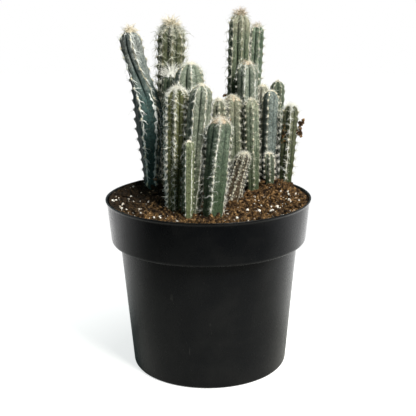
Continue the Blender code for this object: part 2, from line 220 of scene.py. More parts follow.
def plastic_finish():
    """Black polypropylene with a satin moulding skin, dust in its marks and rubbed scuffs."""
    finish, tree, shader = new_material("black polypropylene", 0.4, 0.14)
    patches = ranged(tree, noise_at(tree, 38, 4), 0.42, 0.7, 0, 0.02)
    scuffs = ranged(tree, noise_at(tree, 110, 5, 0.7, (1, 1, 0.3)), 0.66, 0.74, 0, 0.10)
    specks = ranged(tree, noise_at(tree, 700, 2), 0.72, 0.78, 0, 0.16)
    share = maths(tree, "ADD", maths(tree, "ADD", patches, scuffs), specks)
    colour = mixed(tree, share, (0.0024, 0.0029, 0.0036), (0.20, 0.19, 0.17))
    tree.links.new(colour, shader.inputs["Base Color"])
    tree.links.new(ranged(tree, noise_at(tree, 60, 5, 0.65, (1, 1, 0.3)), 0.3, 0.75, 0.22, 0.34),
                   shader.inputs["Roughness"])
    grain = maths(tree, "ADD", noise_at(tree, 2200, 2), noise_at(tree, 25, 2))
    bump(tree, shader, grain, 0.00006)
    return finish


floor_z = BASE_RAISE + WALL
step_z = COLLAR_FOOT_Z + WALL
# Radius, height and rounding of each corner: from the middle of the floor up the inner wall, over
# the lip, and down the outside to the middle of the base.
pot_corners = [
    (0, floor_z, 0),
    (pot_inside(floor_z), floor_z, 1.5 * MM),
    (BODY_TOP_RADIUS - WALL, step_z, 0.5 * MM),
    (COLLAR_FOOT_RADIUS - WALL, step_z, 2.4 * MM),
    (pot_inside(LIP_FOOT_Z), LIP_FOOT_Z, 0.8 * MM),
    (RIM_RADIUS - LIP_WIDTH, POT_HEIGHT, 0.5 * MM),
    (RIM_RADIUS, POT_HEIGHT, 0.7 * MM),
    (RIM_RADIUS - 0.2 * MM, POT_HEIGHT - 1.2 * MM, 0.3 * MM),
    (COLLAR_TOP_RADIUS, LIP_FOOT_Z, 0.9 * MM),
    (COLLAR_FOOT_RADIUS, COLLAR_FOOT_Z, 3.4 * MM),
    (BODY_TOP_RADIUS, COLLAR_FOOT_Z, 0.6 * MM),
    (BODY_FOOT_RADIUS, 0, 3.2 * MM),
    (BODY_FOOT_RADIUS - FOOT_RING_WIDTH, 0, 0.5 * MM),
    (BODY_FOOT_RADIUS - FOOT_RING_WIDTH - 0.8 * MM, BASE_RAISE, 0.4 * MM),
    (0, BASE_RAISE, 0),
]
pot = make_piece("nursery_pot", spun(rounded(pot_corners), POT_STEPS), plastic_finish(), 35)
# The holes are cut right through by cylinders, and the cylinders are then thrown away.
drains = bmesh.new()
for number in range(DRAIN_COUNT):
    angle = math.tau * (number + 0.5) / DRAIN_COUNT
    place = (DRAIN_CIRCLE * math.cos(angle), DRAIN_CIRCLE * math.sin(angle), BASE_RAISE)
    bmesh.ops.create_cone(drains, cap_ends=True, segments=24, radius1=DRAIN_RADIUS, radius2=DRAIN_RADIUS,
                          depth=8 * WALL, matrix=Matrix.Translation(place))
drain_cutter = in_scene("drains", kept_mesh("drains", drains))
cut = pot.modifiers.new("drain holes", "BOOLEAN")
cut.operation = "DIFFERENCE"
cut.object = drain_cutter
cut.solver = "EXACT"
holed = bpy.data.meshes.new_from_object(pot.evaluated_get(bpy.context.evaluated_depsgraph_get()))
pot.modifiers.clear()
pot.data = holed
bpy.data.objects.remove(drain_cutter)
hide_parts("pot")

# Potting soil
# Gritty brown peat mix, filled to a few millimetres below the rim and heaped round the stems
# at the back right. Its surface is clods and crumbs of every size, loose on the mass below.

# In millimetres, the level and its rises and fall, the mound, and the coarse lumps.
SOIL_FRONT_Z = 164
SOIL_RADIUS = 95
SOIL_EDGE_RISE = 4
SOIL_BACK_RISE = 2.5
BACK_RISE_START = -30
BACK_RISE_DEPTH = 90
SOIL_SIDE_FALL = 0.75
MOUND_HEIGHT = 16
MOUND_PLACE = (68, 26)
MOUND_SPREAD = 22
LUMP_HEIGHT = 1.2
LUMP_SIZE = 11
# The finer lumps, by height, size and where their noise starts. They are lower near the wall.
FINE_LUMPS = ((3.2, 5.6, 3.1), (2.2, 2.4, 7.7))
CALM_START = 84
CALM_DEPTH = 12
CALM_SHARE = 0.8
WALL_GAP = 0.3 * MM
SOIL_STEPS = 200
SOIL_TOP_RINGS = 72
CLOD_COUNT = 900
CRUMB_COUNT = 3000
SOIL_REACH = 95.5 * MM


def ease(share):
    """A soft step from 0 to 1."""
    share = min(max(share, 0), 1)
    return share * share * (3 - 2 * share)


def soil_level(x, y):
    """Height of the soil without its lumps, from a place in metres."""
    x, y = x / MM, y / MM
    reach = math.hypot(x, y) / SOIL_RADIUS
    level = SOIL_FRONT_Z + SOIL_EDGE_RISE * reach ** 4 - SOIL_SIDE_FALL * x / SOIL_RADIUS
    level += SOIL_BACK_RISE * ease((y - BACK_RISE_START) / BACK_RISE_DEPTH)
    away = ((x - MOUND_PLACE[0]) ** 2 + (y - MOUND_PLACE[1]) ** 2) / (2 * MOUND_SPREAD ** 2)
    return (level + MOUND_HEIGHT * math.exp(-away) * max(0, 1 - (0.98 * reach) ** 8)) * MM


def soil_surface(x, y):
    """Height of the soil with lumps of three sizes."""
    place = Vector((x / MM, y / MM, 0))
    lump = LUMP_HEIGHT * noise.noise(place / LUMP_SIZE + Vector((0, 0, 0.4)))
    inside = 1 - CALM_SHARE * ease((math.hypot(x, y) / MM - CALM_START) / CALM_DEPTH)
    for height, size, start in FINE_LUMPS:
        lump += height * inside * noise.noise(place / size + Vector((0, 0, start)))
    return soil_level(x, y) + lump * MM


def ramp(tree, value, stops):
    """A colour ramp from (position, colour) stops."""
    node = tree.nodes.new("ShaderNodeValToRGB")
    elements = node.color_ramp.elements
    while len(elements) < len(stops):
        elements.new(0.5)
    for element, (position, colour) in zip(elements, stops):
        element.position = position
        element.color = (*colour, 1)
    tree.links.new(value, node.inputs["Fac"])
    return node.outputs["Color"]


def coordinates(tree, kind="Object"):
    """A place's X, Y and Z."""
    place = tree.nodes.new("ShaderNodeTexCoord")
    split = tree.nodes.new("ShaderNodeSeparateXYZ")
    tree.links.new(place.outputs[kind], split.inputs["Vector"])
    return split.outputs


def soil_finish(name, tones):
    """Brown peat with pale fibres, dark wet patches, painted shade in its hollows and towards the back left.
    """
    finish, tree, shader = new_material(name, 0.95, 0.15)
    grains = noise_at(tree, 330, 6, 0.75)
    # The ramp's darkest stop falls in the hollows that the same grain bumps in: painted shade there, over
    # the peat's own tones.
    tone = ramp(tree, grains, list(zip((0.39, 0.47, 0.56, 0.67), tones)))
    fibres = ranged(tree, noise_at(tree, 260, 4, 0.8, (1, 5, 1)), 0.66, 0.72, 0, 0.6)
    tone = mixed(tree, fibres, tone, (0.34, 0.22, 0.12))
    wet = ranged(tree, noise_at(tree, 170, 4, 0.7), 0.46, 0.58, 0, 0.9)
    tone = mixed(tree, wet, tone, (0.010, 0.006, 0.004))
    # Painted shade: the soil darkens towards the back left, where the stems shade it from the key light.
    place = coordinates(tree)
    shaded = maths(tree, "SUBTRACT", maths(tree, "MULTIPLY", place["Y"], 0.7), place["X"])
    shaded = maths(tree, "ADD", shaded, maths(tree, "MULTIPLY", noise_at(tree, 60, 2), 0.05))
    painted_back_left_shade = ranged(tree, shaded, 0.025, 0.085, 0, 0.82)
    tone = mixed(tree, painted_back_left_shade, tone, (0.014, 0.010, 0.007))
    tree.links.new(tone, shader.inputs["Base Color"])
    bump(tree, shader, grains, 0.0022, 1.0)
    return finish


def lump_templates(count, seed, jitter, subdivisions):
    """Small rough lumps of radius 1, to copy many times."""
    draw = random.Random(seed)
    templates = []
    for _ in range(count):
        bm = bmesh.new()
        bmesh.ops.create_icosphere(bm, subdivisions=subdivisions, radius=1)
        for vert in bm.verts:
            vert.co *= 1 + draw.uniform(-jitter, jitter)
        templates.append(kept_mesh("template", bm))
    return templates


def add_copy(bm, template, matrix):
    """Adds a placed copy of a template mesh to a bmesh."""
    copy = template.copy()
    copy.transform(matrix)
    bm.from_mesh(copy)
    bpy.data.meshes.remove(copy)


def scatter(bm, templates, draw, x, y, size, sink, slim=1):
    """Lays one lump on the soil, turned at random and sunk by a share of its size."""
    axis = Vector((draw.uniform(-1, 1), draw.uniform(-1, 1), draw.uniform(0.1, 1)))
    turn = Matrix.Rotation(draw.uniform(0, math.tau), 4, axis)
    shape = Matrix.Diagonal((size, size * draw.uniform(0.4, 1), size * slim * draw.uniform(0.5, 0.9), 1))
    place = Matrix.Translation((x, y, soil_surface(x, y) + size * (0.6 - sink)))
    add_copy(bm, draw.choice(templates), place @ turn @ shape)


def lump_size(draw, least, more, rarity=2):
    """A random size in metres: the higher the rarity, the fewer large ones."""
    return MM * (least + more * draw.random() ** rarity)


def anywhere(draw, reach):
    """A random place on a disc."""
    angle = draw.uniform(0, math.tau)
    radius = reach * math.sqrt(draw.random())
    return radius * math.cos(angle), radius * math.sin(angle)


# The mass stands a little off the pot's floor, wall and step.
soil_profile = [Vector((0, floor_z + WALL_GAP))]
for z, inset in ((floor_z + WALL_GAP, 2 * MM), (floor_z + 2 * MM, 0.5 * MM), (step_z + WALL_GAP, 0.9 * MM),
                 (step_z + 4.5 * MM, 0.5 * MM)):
    soil_profile.append(Vector((pot_inside(z) - inset, z)))
soil_edge = pot_inside(SOIL_FRONT_Z * MM) - WALL_GAP
# The rings of the top are spun at a mark above the pot, and then lowered to the real surface.
surface_mark = 0.2
for ring in range(SOIL_TOP_RINGS + 1):
    soil_profile.append(Vector((soil_edge * (1 - ring / SOIL_TOP_RINGS), surface_mark)))
bm = spun(soil_profile, SOIL_STEPS)
for vert in bm.verts:
    if vert.co.z > surface_mark - MM:
        vert.co.z = soil_surface(vert.co.x, vert.co.y)
peat = soil_finish("peat mix", (
    (0.006, 0.004, 0.002), (0.050, 0.026, 0.009), (0.17, 0.094, 0.036), (0.50, 0.32, 0.15),
))
soil = make_piece("potting_soil", bm, peat, 60)
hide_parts("soil")

draw = random.Random(21)
bm = bmesh.new()
clods = lump_templates(6, 31, 0.26, 2)
for _ in range(CLOD_COUNT):
    x, y = anywhere(draw, SOIL_REACH - 2 * MM)
    scatter(bm, clods, draw, x, y, lump_size(draw, 1.0, 2.9), 0.35)
clod_piece = make_piece("soil_clods", bm, peat)

bm = bmesh.new()
crumbs = lump_templates(6, 11, 0.3, 1)
for _ in range(CRUMB_COUNT):
    x, y = anywhere(draw, SOIL_REACH)
    scatter(bm, crumbs, draw, x, y, lump_size(draw, 0.45, 0.9), 0.1)
rich_peat = soil_finish("orange peat", (
    (0.020, 0.011, 0.004), (0.10, 0.054, 0.020), (0.28, 0.155, 0.060), (0.66, 0.44, 0.22),
))
crumb_piece = make_piece("soil_crumbs", bm, rich_peat)

# Perlite and bark
# White puffed perlite mixed through the soil, thicker in some spots, with a few chips of bark
# on top.
PERLITE_COUNT = 460
PERLITE_SPREAD = 5 * MM
# One grain in this many lies in one of the thick spots, which are places in millimetres.
SPOT_GRAINS = 3
PERLITE_SPOTS = ((-66, -54), (-58, -56), (-44, -68), (-25, -79), (-7, -77), (21, -69), (46, -40), (59, -42),
                 (68, -50), (50, -4), (64, -24), (76, -10), (88, 0), (-92, -12), (-84, 5), (-70, -6),
                 (-80, -36), (34, -76))


def perlite_finish():
    """Chalky white glassy foam, stained by the peat in places."""
    finish, tree, shader = new_material("perlite", 0.9, 0.2)
    stain = ranged(tree, noise_at(tree, 210, 3), 0.50, 0.66, 0, 0.8)
    tone = mixed(tree, stain, (0.80, 0.77, 0.70), (0.30, 0.21, 0.13))
    tree.links.new(tone, shader.inputs["Base Color"])
    bump(tree, shader, noise_at(tree, 1500, 3), 0.0005)
    return finish


def bark_finish():
    """Tan composted bark with darker grain."""
    finish, tree, shader = new_material("bark", 0.85, 0.2)
    grain = noise_at(tree, 500, 4, 0.6, (1, 6, 1))
    tone = ramp(tree, grain, [(0.35, (0.10, 0.055, 0.028)), (0.65, (0.42, 0.28, 0.17))])
    tree.links.new(tone, shader.inputs["Base Color"])
    bump(tree, shader, grain, 0.0004)
    return finish


draw = random.Random(8)
bm = bmesh.new()
grains = lump_templates(6, 5, 0.3, 2)
for number in range(PERLITE_COUNT):
    x, y = anywhere(draw, SOIL_REACH - MM)
    size = lump_size(draw, 0.3, 1.0, 4)
    if number % SPOT_GRAINS == 0:
        spot = PERLITE_SPOTS[number // SPOT_GRAINS % len(PERLITE_SPOTS)]
        x, y = (place * MM + draw.gauss(0, PERLITE_SPREAD) for place in spot)
        pull = min(1, (SOIL_REACH - MM) / math.hypot(x, y))
        x, y = x * pull, y * pull
        size = lump_size(draw, 0.45, 1.35)
    scatter(bm, grains, draw, x, y, size, 0.25, 1.2)
perlite = make_piece("perlite", bm, perlite_finish(), 50)

# Per chip: place (x, y), half length in millimetres, and turn in degrees.
BARK_CHIPS = ((-57, 33, 3.6, 20), (-61, 24, 2.4, 80), (55, -22, 2.6, 140), (20, -66, 2.2, 35),
              (86, -8, 2.4, 60), (-24, -70, 2.0, 100), (-74, -12, 2.2, 10), (70, -40, 2.4, 75),
              (30, -30, 2.0, 120), (-10, 80, 3.0, 50))
draw = random.Random(3)
bm = bmesh.new()
for x, y, size, turn in BARK_CHIPS:
    chip = lump_templates(1, x, 0.16, 2)[0]
    shape = Matrix.Diagonal((size * MM, 0.5 * size * MM, 0.22 * size * MM, 1))
    place = Matrix.Translation((x * MM, y * MM, soil_surface(x * MM, y * MM) + 0.8 * MM))
    tilt = Matrix.Rotation(math.radians(turn), 4, "Z") @ Matrix.Rotation(draw.uniform(-0.4, 0.4), 4, "X")
    add_copy(bm, chip, place @ tilt @ shape)
bark_brown = bark_finish()
bark = make_piece("bark_chips", bm, bark_brown, 40)

# Stems
# Each is one ribbed column of green flesh under a waxy bloom. It swells at every areole along
# its crests, has flat faces, a narrow crease between ribs, and a domed growing tip.

# The dome's height per radius of the tip, the skin points of one rib and how much closer they
# stand near its crest, the height of a ring, the depth in the soil, and the rings of the dome.
DOME_SHARE = 1.15
RIB_POINTS = 12
CREST_CROWDING = 1.25
RING_STEP = 1.8 * MM
BURIED = 5 * MM
DOME_STEPS = 11
# The skin between two crests: how round the crests are, then the share of the groove's depth and
# the steepness of the flat faces and of the creases.
CREST_ROUND = 0.16
FACE_SHARE = 0.95
FACE_POWER = 0.85
CREASE_SHARE = 0.5
CREASE_POWER = 9

# Per stem: name, place (x, y), tip (x, y, z) and crest radius in millimetres, ribs, angle of one
# crest from the front towards the right, groove depth share, skin, wool, then in millimetres the
# areole spacing and the spine length, the long hairs of each areole, and their length.
STEMS = (
    ("far_left_leaning", (-61.3, 44), (-78, 41, 329), 15, 5, 6, 0.24, "blue", "cream", 10, 2.6, 0, 8),
    ("back_left_hairy", (-43.4, 64.5), (-38.8, 65, 333.3), 14, 8, 10, 0.2, "green", "cream", 9, 4.6, 3, 9),
    ("left_pale", (-20.9, 6), (-17, 6, 300), 14.2, 7, 10, 0.22, "pale", "cream", 7.5, 2.8, 2, 5.5),
    ("left_white_haired", (-38.5, 26), (-37.2, 28, 289), 9.5, 7, 0, 0.22, "green", "white", 7.5, 1.2, 0, 8),
    ("front_left_spiny", (-30.8, -28), (-27.5, -22, 280), 10, 7, -6, 0.2, "olive", "cream", 5.6, 3.8, 1, 6),
    ("front_left", (-15.5, -44), (-4.3, -36, 284), 11, 6, -28, 0.25, "pale", "cream", 8.4, 2.2, 1, 5),
    ("front_left_low", (-16.8, -58), (-15.2, -57.5, 236), 4.9, 5, 36, 0.22, "olive", "cream", 6.5, 1.7, 0,
     3.5),
    ("front_middle", (5.4, -56), (12.8, -54, 256), 10.6, 4, 5, 0.26, "green", "tan", 6, 3.4, 1, 5),
    ("middle_slim", (10.1, -16), (11, -16, 268), 7.4, 7, 0, 0.2, "pale", "cream", 5, 3, 1, 4),
    ("middle_felted", (25.5, 22), (23.4, 22, 267), 10, 6, -18, 0.22, "pale", "tan", 7.5, 2.4, 1, 4.5),
    ("back_tallest", (26.2, 62), (31.3, 62, 345), 11.1, 7, 13, 0.22, "green", "tan", 9.3, 3, 2, 7),
    ("back_slender", (40.8, 74), (48.7, 75, 333), 7.8, 6, 20, 0.22, "green", "tan", 8, 3.8, 1, 5),
    ("right_of_middle", (39, 38), (38.7, 38, 298), 10.7, 6, -18, 0.22, "pale", "tan", 7.5, 2.4, 2, 5),
    ("right_slim", (44.2, 17.5), (42.1, 16, 264.5), 7.6, 6, 10, 0.2, "pale", "cream", 6.5, 2.4, 1, 4.5),
    ("middle_low_corky", (22.2, 2), (35.6, 2, 214), 7.5, 8, 0, 0.18, "cork", "tan", 3.2, 2.4, 1, 4),
    ("right_smooth", (60, 38), (62.5, 36, 270.5), 8.1, 4, -20, 0.2, "blue", "cream", 7.8, 2.4, 1, 4),
    ("right_back_slim", (49.9, 59), (54.8, 59, 273), 6.8, 6, 5, 0.2, "pale", "cream", 7, 3, 1, 4.5),
    ("right_back", (67.5, 55), (69.9, 56, 278), 7.4, 6, 30, 0.2, "green", "cream", 8, 2.0, 0, 4.5),
    ("right_low", (61.3, 18), (60.2, 15.5, 211), 5.5, 6, 0, 0.2, "green", "cream", 6, 2.8, 1, 4),
    ("far_right", (77.8, 33), (82.1, 30, 257), 8.2, 5, 0, 0.24, "green", "white", 7.6, 4.2, 1, 5),
)
# Height share at full girth, girth share at the foot and at the top, height share where the stem
# starts to lean, and degrees that its crests twist down to the foot: most stems, then the others.
COMMON_FORM = (0.4, 0.84, 1, 0, 0)
FORMS = {
    "far_left_leaning": (0.48, 0.5, 0.76, 0.42, 42),
    "back_left_hairy": (0.4, 0.98, 1, 0, 0),
    "left_pale": (0.5, 0.84, 1, 0, 0),
    "front_middle": (0.4, 0.89, 1, 0, -14),
    "middle_low_corky": (0.6, 1.3, 1, 0, 0),
    "right_low": (0.3, 0.84, 1, 0, 0),
}
TAPER_LENGTH = 0.25
TWIST_LENGTH = 0.5
# How deep the creases are near the top and near the foot, where they aren't full, and how dark their painted
# shade is.
CREASES = {
    "far_left_leaning": (1.0, 0.1),
    "back_left_hairy": (1.0, 1.0),
    "front_left_spiny": (0.9, 0.8),
    "front_left": (0.8, 0.5),
    "front_left_low": (0.4, 0.3),
    "front_middle": (0.6, 0.45),
    "middle_slim": (0.8, 0.7),
    "middle_felted": (0.6, 0.8),
    "right_slim": (0.5, 0.5),
    "right_smooth": (0.5, 0.6),
    "middle_low_corky": (0.3, 0.3),
}
CREASE_CHANGE = 0.45
CREASE_CHANGE_LENGTH = 0.25
# The one crease that is deeper than the rest of its stem's, by the number of the rib before it.
DEEPEST = {"far_left_leaning": 4, "left_pale": 6, "right_of_middle": 0}
LESSER_CREASE = 0.5
# The stems whose crests swell less under the areoles than those of the rest, and both shares.
SLEEK = ("back_tallest", "right_of_middle", "front_middle", "front_left")
SLEEK_BUMPS = 0.07
BUMPS = 0.11
# How far under its areole a swelling is highest, the share of it that lies below the even crest,
# and how steeply it falls off beside the crest.
BUMP_DROP = 0.8 * MM
BUMP_REST = 0.6
BUMP_POWER = 1.3
# Where the first areole of the even and of the odd crests stands, as a share of their spacing.
ROW_STARTS = (0.3, 0.8)
SPACING_VARIES = 0.22
# How much closer the areoles of a tip stand, and in tip radii how far under the shoulder that
# starts, over what length it grows, and how far from the very tip the last one stands.
TIP_CROWDING = 0.58
CROWDING_START = 0.8
CROWDING_LENGTH = 1.6
BARE_TIP = 0.1
# How far a crest wanders aside, as a share of a rib, and over what length in millimetres.
CREST_WANDER = 0.1
WANDER_LENGTH = 11
# Low waves of the girth: their height, how many go round, and their length in millimetres.
GIRTH_WAVE = 0.035
WAVES_ROUND = 1.3
WAVE_LENGTH = 15
THINNEST = 0.2 * MM
# Where round the foot the soil's height is read, to stand the stem on the highest place.
FOOT_PLACES = 12


class Stem:
    """One stem's place and form."""

    def __init__(self, name, place, tip, radius, ribs, turn, groove, skin, wool, spacing, spine, hairs,
                 hair):
        self.name = name
        self.place = Vector(place) * MM
        self.tip = Vector(tip) * MM
        self.radius = radius * MM
        self.ribs = ribs
        self.turn = turn
        self.waist, self.foot, self.top, self.bend, self.twist = FORMS.get(name, COMMON_FORM)
        self.groove = groove
        self.creases = CREASES.get(name, (1, 1))
        self.deepest = DEEPEST.get(name)
        self.bumps = SLEEK_BUMPS if name in SLEEK else BUMPS
        self.skin = skin
        self.wool = wool
        self.spacing = spacing * MM
        self.spine = spine * MM
        self.hairs = hairs
        self.hair = hair * MM
        self.seed = radius + place[0]
        around = [math.tau * k / FOOT_PLACES for k in range(FOOT_PLACES)]
        reach = self.foot * self.radius
        self.ground = LUMP_HEIGHT * MM + max(
            soil_level(self.place.x + reach * math.cos(a), self.place.y + reach * math.sin(a))
            for a in around)
        self.tip_radius = self.top * self.radius
        self.dome = DOME_SHARE * self.tip_radius
        self.shoulder = self.tip.z - self.dome
        self.straight = self.shoulder - self.ground
        self.rows = [self.row(start) for start in ROW_STARTS]

    def row(self, start):
        """Distances up a crest of its areoles, closer together over the dome."""
        climb = start * self.spacing
        top = self.climb(self.tip.z) - BARE_TIP * self.tip_radius
        found = []
        while climb < top:
            found.append(climb)
            near_tip = ease((climb - self.straight + CROWDING_START * self.tip_radius)
                            / (CROWDING_LENGTH * self.tip_radius))
            vary = 1 + SPACING_VARIES * noise.noise(Vector((climb / MM / 3, self.seed, start)))
            climb += self.spacing * (1 - TIP_CROWDING * near_tip) * vary
        return found

    def height_share(self, z):
        """How far up the stem a height lies, from 0 at the soil to 1 at the tip."""
        return min(max((z - self.ground) / (self.tip.z - self.ground), 0), 1)

    def middle(self, z):
        """The middle of the stem at a height."""
        share = self.height_share(z)
        if self.bend:
            share = ease((share - self.bend) / (1 - self.bend))
        return Vector((self.place.x + (self.tip.x - self.place.x) * share,
                       self.place.y + (self.tip.y - self.place.y) * share, z))

    def girth(self, z):
        """Radius of the crests at a height."""
        share = self.height_share(z)
        radius = self.radius * (self.foot + (1 - self.foot) * ease(share / self.waist))
        radius *= 1 - (1 - self.top) * ease((share - self.waist) / TAPER_LENGTH)
        if z > self.shoulder:
            radius *= math.sqrt(max(1 - ((z - self.shoulder) / self.dome) ** 2, 0.0004))
        return radius

    def climb(self, z):
        """Distance along a crest from the soil to a height, over the dome too."""
        if z <= self.shoulder:
            return z - self.ground
        rise = math.asin(min((z - self.shoulder) / self.dome, 1))
        return self.straight + rise * (self.tip_radius + self.dome) / 2

    def height_at(self, climb):
        """The height at a distance along a crest."""
        if climb <= self.straight:
            return self.ground + climb
        turn = min((climb - self.straight) / (self.tip_radius + self.dome) * 2, math.pi / 2)
        return self.shoulder + self.dome * math.sin(turn)

    def outward(self, around, z):
        """Direction of a place round the stem, counted in ribs, with each crest wandering a little."""
        away = abs(around - round(around)) * 2
        rib = round(around) % self.ribs
        wander = noise.noise(Vector((rib * 3.7 + self.seed, z / MM / WANDER_LENGTH, 0)))
        wander *= CREST_WANDER * (1 - away)
        twist = self.twist * ease((1 - self.height_share(z)) / TWIST_LENGTH)
        angle = math.radians(self.turn + twist) + math.tau * (around + wander) / self.ribs
        return Vector((math.sin(angle), -math.cos(angle), 0))

    def swelling(self, rib, climb):
        """How far a crest swells at a distance up it: most just under each areole."""
        row = self.rows[rib % 2]
        number = bisect.bisect(row, climb)
        near = min((abs(climb - place + BUMP_DROP) for place in row[max(number - 1, 0):number + 1]),
                   default=self.spacing)
        return 0.5 + 0.5 * math.cos(min(near / (0.5 * self.spacing), 1) * math.pi)

    def crease(self, z, around):
        """How deep a crease is at a height, and how dark its painted shade, from 0 to 1."""
        top, foot = self.creases
        change = ease((self.height_share(z) - CREASE_CHANGE) / CREASE_CHANGE_LENGTH)
        strength = foot + (top - foot) * change
        if self.deepest is not None and math.floor(around) % self.ribs != self.deepest:
            strength *= LESSER_CREASE
        return strength

    def skin_point(self, z, around):
        """A point of the skin, from its height and its place round the stem."""
        away = abs(around - round(around)) * 2
        rib = round(around) % self.ribs
        crest = self.girth(z)
        face = (math.hypot(away, CREST_ROUND) - CREST_ROUND) / (math.hypot(1, CREST_ROUND) - CREST_ROUND)
        crease = self.crease(z, around)
        depth = FACE_SHARE * (0.5 + 0.5 * crease) * face ** FACE_POWER
        depth += CREASE_SHARE * crease * face ** CREASE_POWER
        swell = (self.swelling(rib, self.climb(z)) - BUMP_REST) * self.bumps * crest
        swell *= (1 - away) ** BUMP_POWER
        direction = self.outward(around, z)
        wave = noise.noise(direction * WAVES_ROUND + Vector((0, 0, z / MM / WAVE_LENGTH + self.seed)))
        radius = crest * (1 - self.groove * depth) * (1 + GIRTH_WAVE * wave) + swell
        return self.middle(z) + direction * max(radius, THINNEST)

    def areoles(self):
        """Places of the areoles: skin point, skin normal, the way up, and the share of the climb."""
        found = []
        for rib in range(self.ribs):
            for climb in self.rows[rib % 2]:
                z = self.height_at(climb)
                up = (self.skin_point(self.height_at(climb + MM), rib)
                      - self.skin_point(self.height_at(climb - MM), rib)).normalized()
                side = self.outward(rib, z).cross(Vector((0, 0, 1)))
                normal = up.cross(side).normalized()
                if normal.dot(self.outward(rib, z) + Vector((0, 0, 0.2))) < 0:
                    normal = -normal
                found.append((self.skin_point(z, rib), normal, up, climb / self.climb(self.tip.z)))
        return found


# How each stem's skin differs from its kind's colour.
TINTS = {
    "far_left_leaning": (0.86, 0.85, 0.82),
    "back_left_hairy": (0.70, 0.66, 0.50),
    "front_left_spiny": (0.76, 0.76, 0.62),
    "front_left_low": (1.3, 1.38, 1.5),
    "front_middle": (0.80, 0.87, 0.84),
    "left_pale": (0.82, 0.88, 0.84),
    "middle_slim": (0.60, 0.64, 0.58),
    "middle_felted": (0.68, 0.70, 0.62),
    "back_tallest": (1.0, 1.0, 0.92),
    "back_slender": (0.95, 1.05, 1.0),
    "right_of_middle": (0.82, 0.86, 0.86),
    "right_slim": (0.80, 0.86, 0.78),
    "right_smooth": (0.64, 0.69, 0.65),
    "right_back": (0.88, 0.90, 0.86),
    "far_right": (0.82, 0.76, 0.62),
}
# The height share where felt starts to hide the skin of a tip, on the stems that have it.
FELT_START = {"middle_felted": 0.72, "middle_slim": 0.75, "right_slim": 0.8, "right_back_slim": 0.75,
              "back_tallest": 0.85, "front_middle": 0.9, "right_of_middle": 0.92}
NO_FELT = 2
FELT_FADE = 0.1
# How much darker the skin is on the left, away from the light, where it isn't the usual, and how
# far it has to face left for that to start and over how much more it grows.
COMMON_SHADE = 0.12
SHADE_START = 0.35
SHADE_FADE = 0.4
SHADES = {"far_left_leaning": 0.62, "right_smooth": 0.3, "far_right": 0.25}
# Height shares that the dark old skin and painted shade reach and fade at, where they aren't the usual.
COMMON_AGE_AND_SHADE = (0, 0.67)
AGE_AND_SHADE_SPANS = {
    # The far left stem's dark lower part is mostly the painted shadow of the stems to its right.
    "far_left_leaning": (0.56, 0.86),
    "left_white_haired": (0.3, 1.5),
    "front_left_spiny": (-0.4, 0.5),
    "front_left": (0.1, 1.0),
    "right_smooth": (0, 0.45),
    "back_tallest": (0.45, 0.92),
    "front_middle": (0, 0.84),
    "middle_low_corky": (0, 0.96),
}


def column(sides, steps, foot=1, top=1):
    """A capped upright column one high, cut across into steps."""
    bm = bmesh.new()
    bmesh.ops.create_cone(bm, cap_ends=True, segments=sides, radius1=foot, radius2=top, depth=1)
    uprights = [e for e in bm.edges if abs(e.verts[0].co.z - e.verts[1].co.z) > 0.5]
    bmesh.ops.subdivide_edges(bm, edges=uprights, cuts=steps - 1, use_grid_fill=True)
    return bm


def skin_mesh(stem):
    """The ribbed column: a capped cylinder cut into rings, with more points near the crests."""
    rings = max(4, round((stem.straight + BURIED) / RING_STEP))
    heights = [stem.ground - BURIED + (stem.straight + BURIED) * k / rings for k in range(rings + 1)]
    for step in range(1, DOME_STEPS + 1):
        heights.append(stem.shoulder + stem.dome * math.sin(math.pi / 2 * step / DOME_STEPS))
    sides = stem.ribs * RIB_POINTS
    bm = column(sides, len(heights) - 1)
    hollow = bm.verts.layers.float.new("groove")
    youth = bm.verts.layers.float.new("youth")
    felt = bm.verts.layers.float.new("felt")
    tint = bm.verts.layers.float_color.new("tint")
    crease = bm.verts.layers.float.new("crease")
    oldest_and_shaded, young_and_lit = AGE_AND_SHADE_SPANS.get(stem.name, COMMON_AGE_AND_SHADE)
    for vert in bm.verts:
        z = heights[round((vert.co.z + 0.5) * (len(heights) - 1))]
        side = round(math.atan2(vert.co.x, vert.co.y) / math.tau * sides) % sides
        rib = round(side / RIB_POINTS)
        away = side / RIB_POINTS - rib
        away = math.copysign(0.5 * (2 * abs(away)) ** CREST_CROWDING, away)
        vert[hollow] = 2 * abs(away)
        vert[youth] = (stem.height_share(z) - oldest_and_shaded) / (young_and_lit - oldest_and_shaded)
        vert[crease] = stem.crease(z, rib + away)
        vert[felt] = ease((stem.height_share(z) - FELT_START.get(stem.name, NO_FELT)) / FELT_FADE)
        # Painted shade: skin facing left, away from the key light, is darkened; it rides in the tint with
        # the stem's own colour.
        shaded = ease((-stem.outward(rib + away, z).x - SHADE_START) / SHADE_FADE)
        light = 1 - SHADES.get(stem.name, COMMON_SHADE) * shaded
        vert[tint] = (*(light * Vector(TINTS.get(stem.name, (1, 1, 1)))), 1)
        vert.co = stem.skin_point(z, rib + away)
    bmesh.ops.recalc_face_normals(bm, faces=bm.faces)
    return bm


def named_value(tree, name, output="Fac"):
    """A value or a colour stored on the mesh."""
    node = tree.nodes.new("ShaderNodeAttribute")
    node.attribute_name = name
    return node.outputs[output]


def multiplied(tree, one, other):
    """Multiplies two colours."""
    colour = mixed(tree, 1.0, one, other)
    colour.node.blend_type = "MULTIPLY"
    return colour


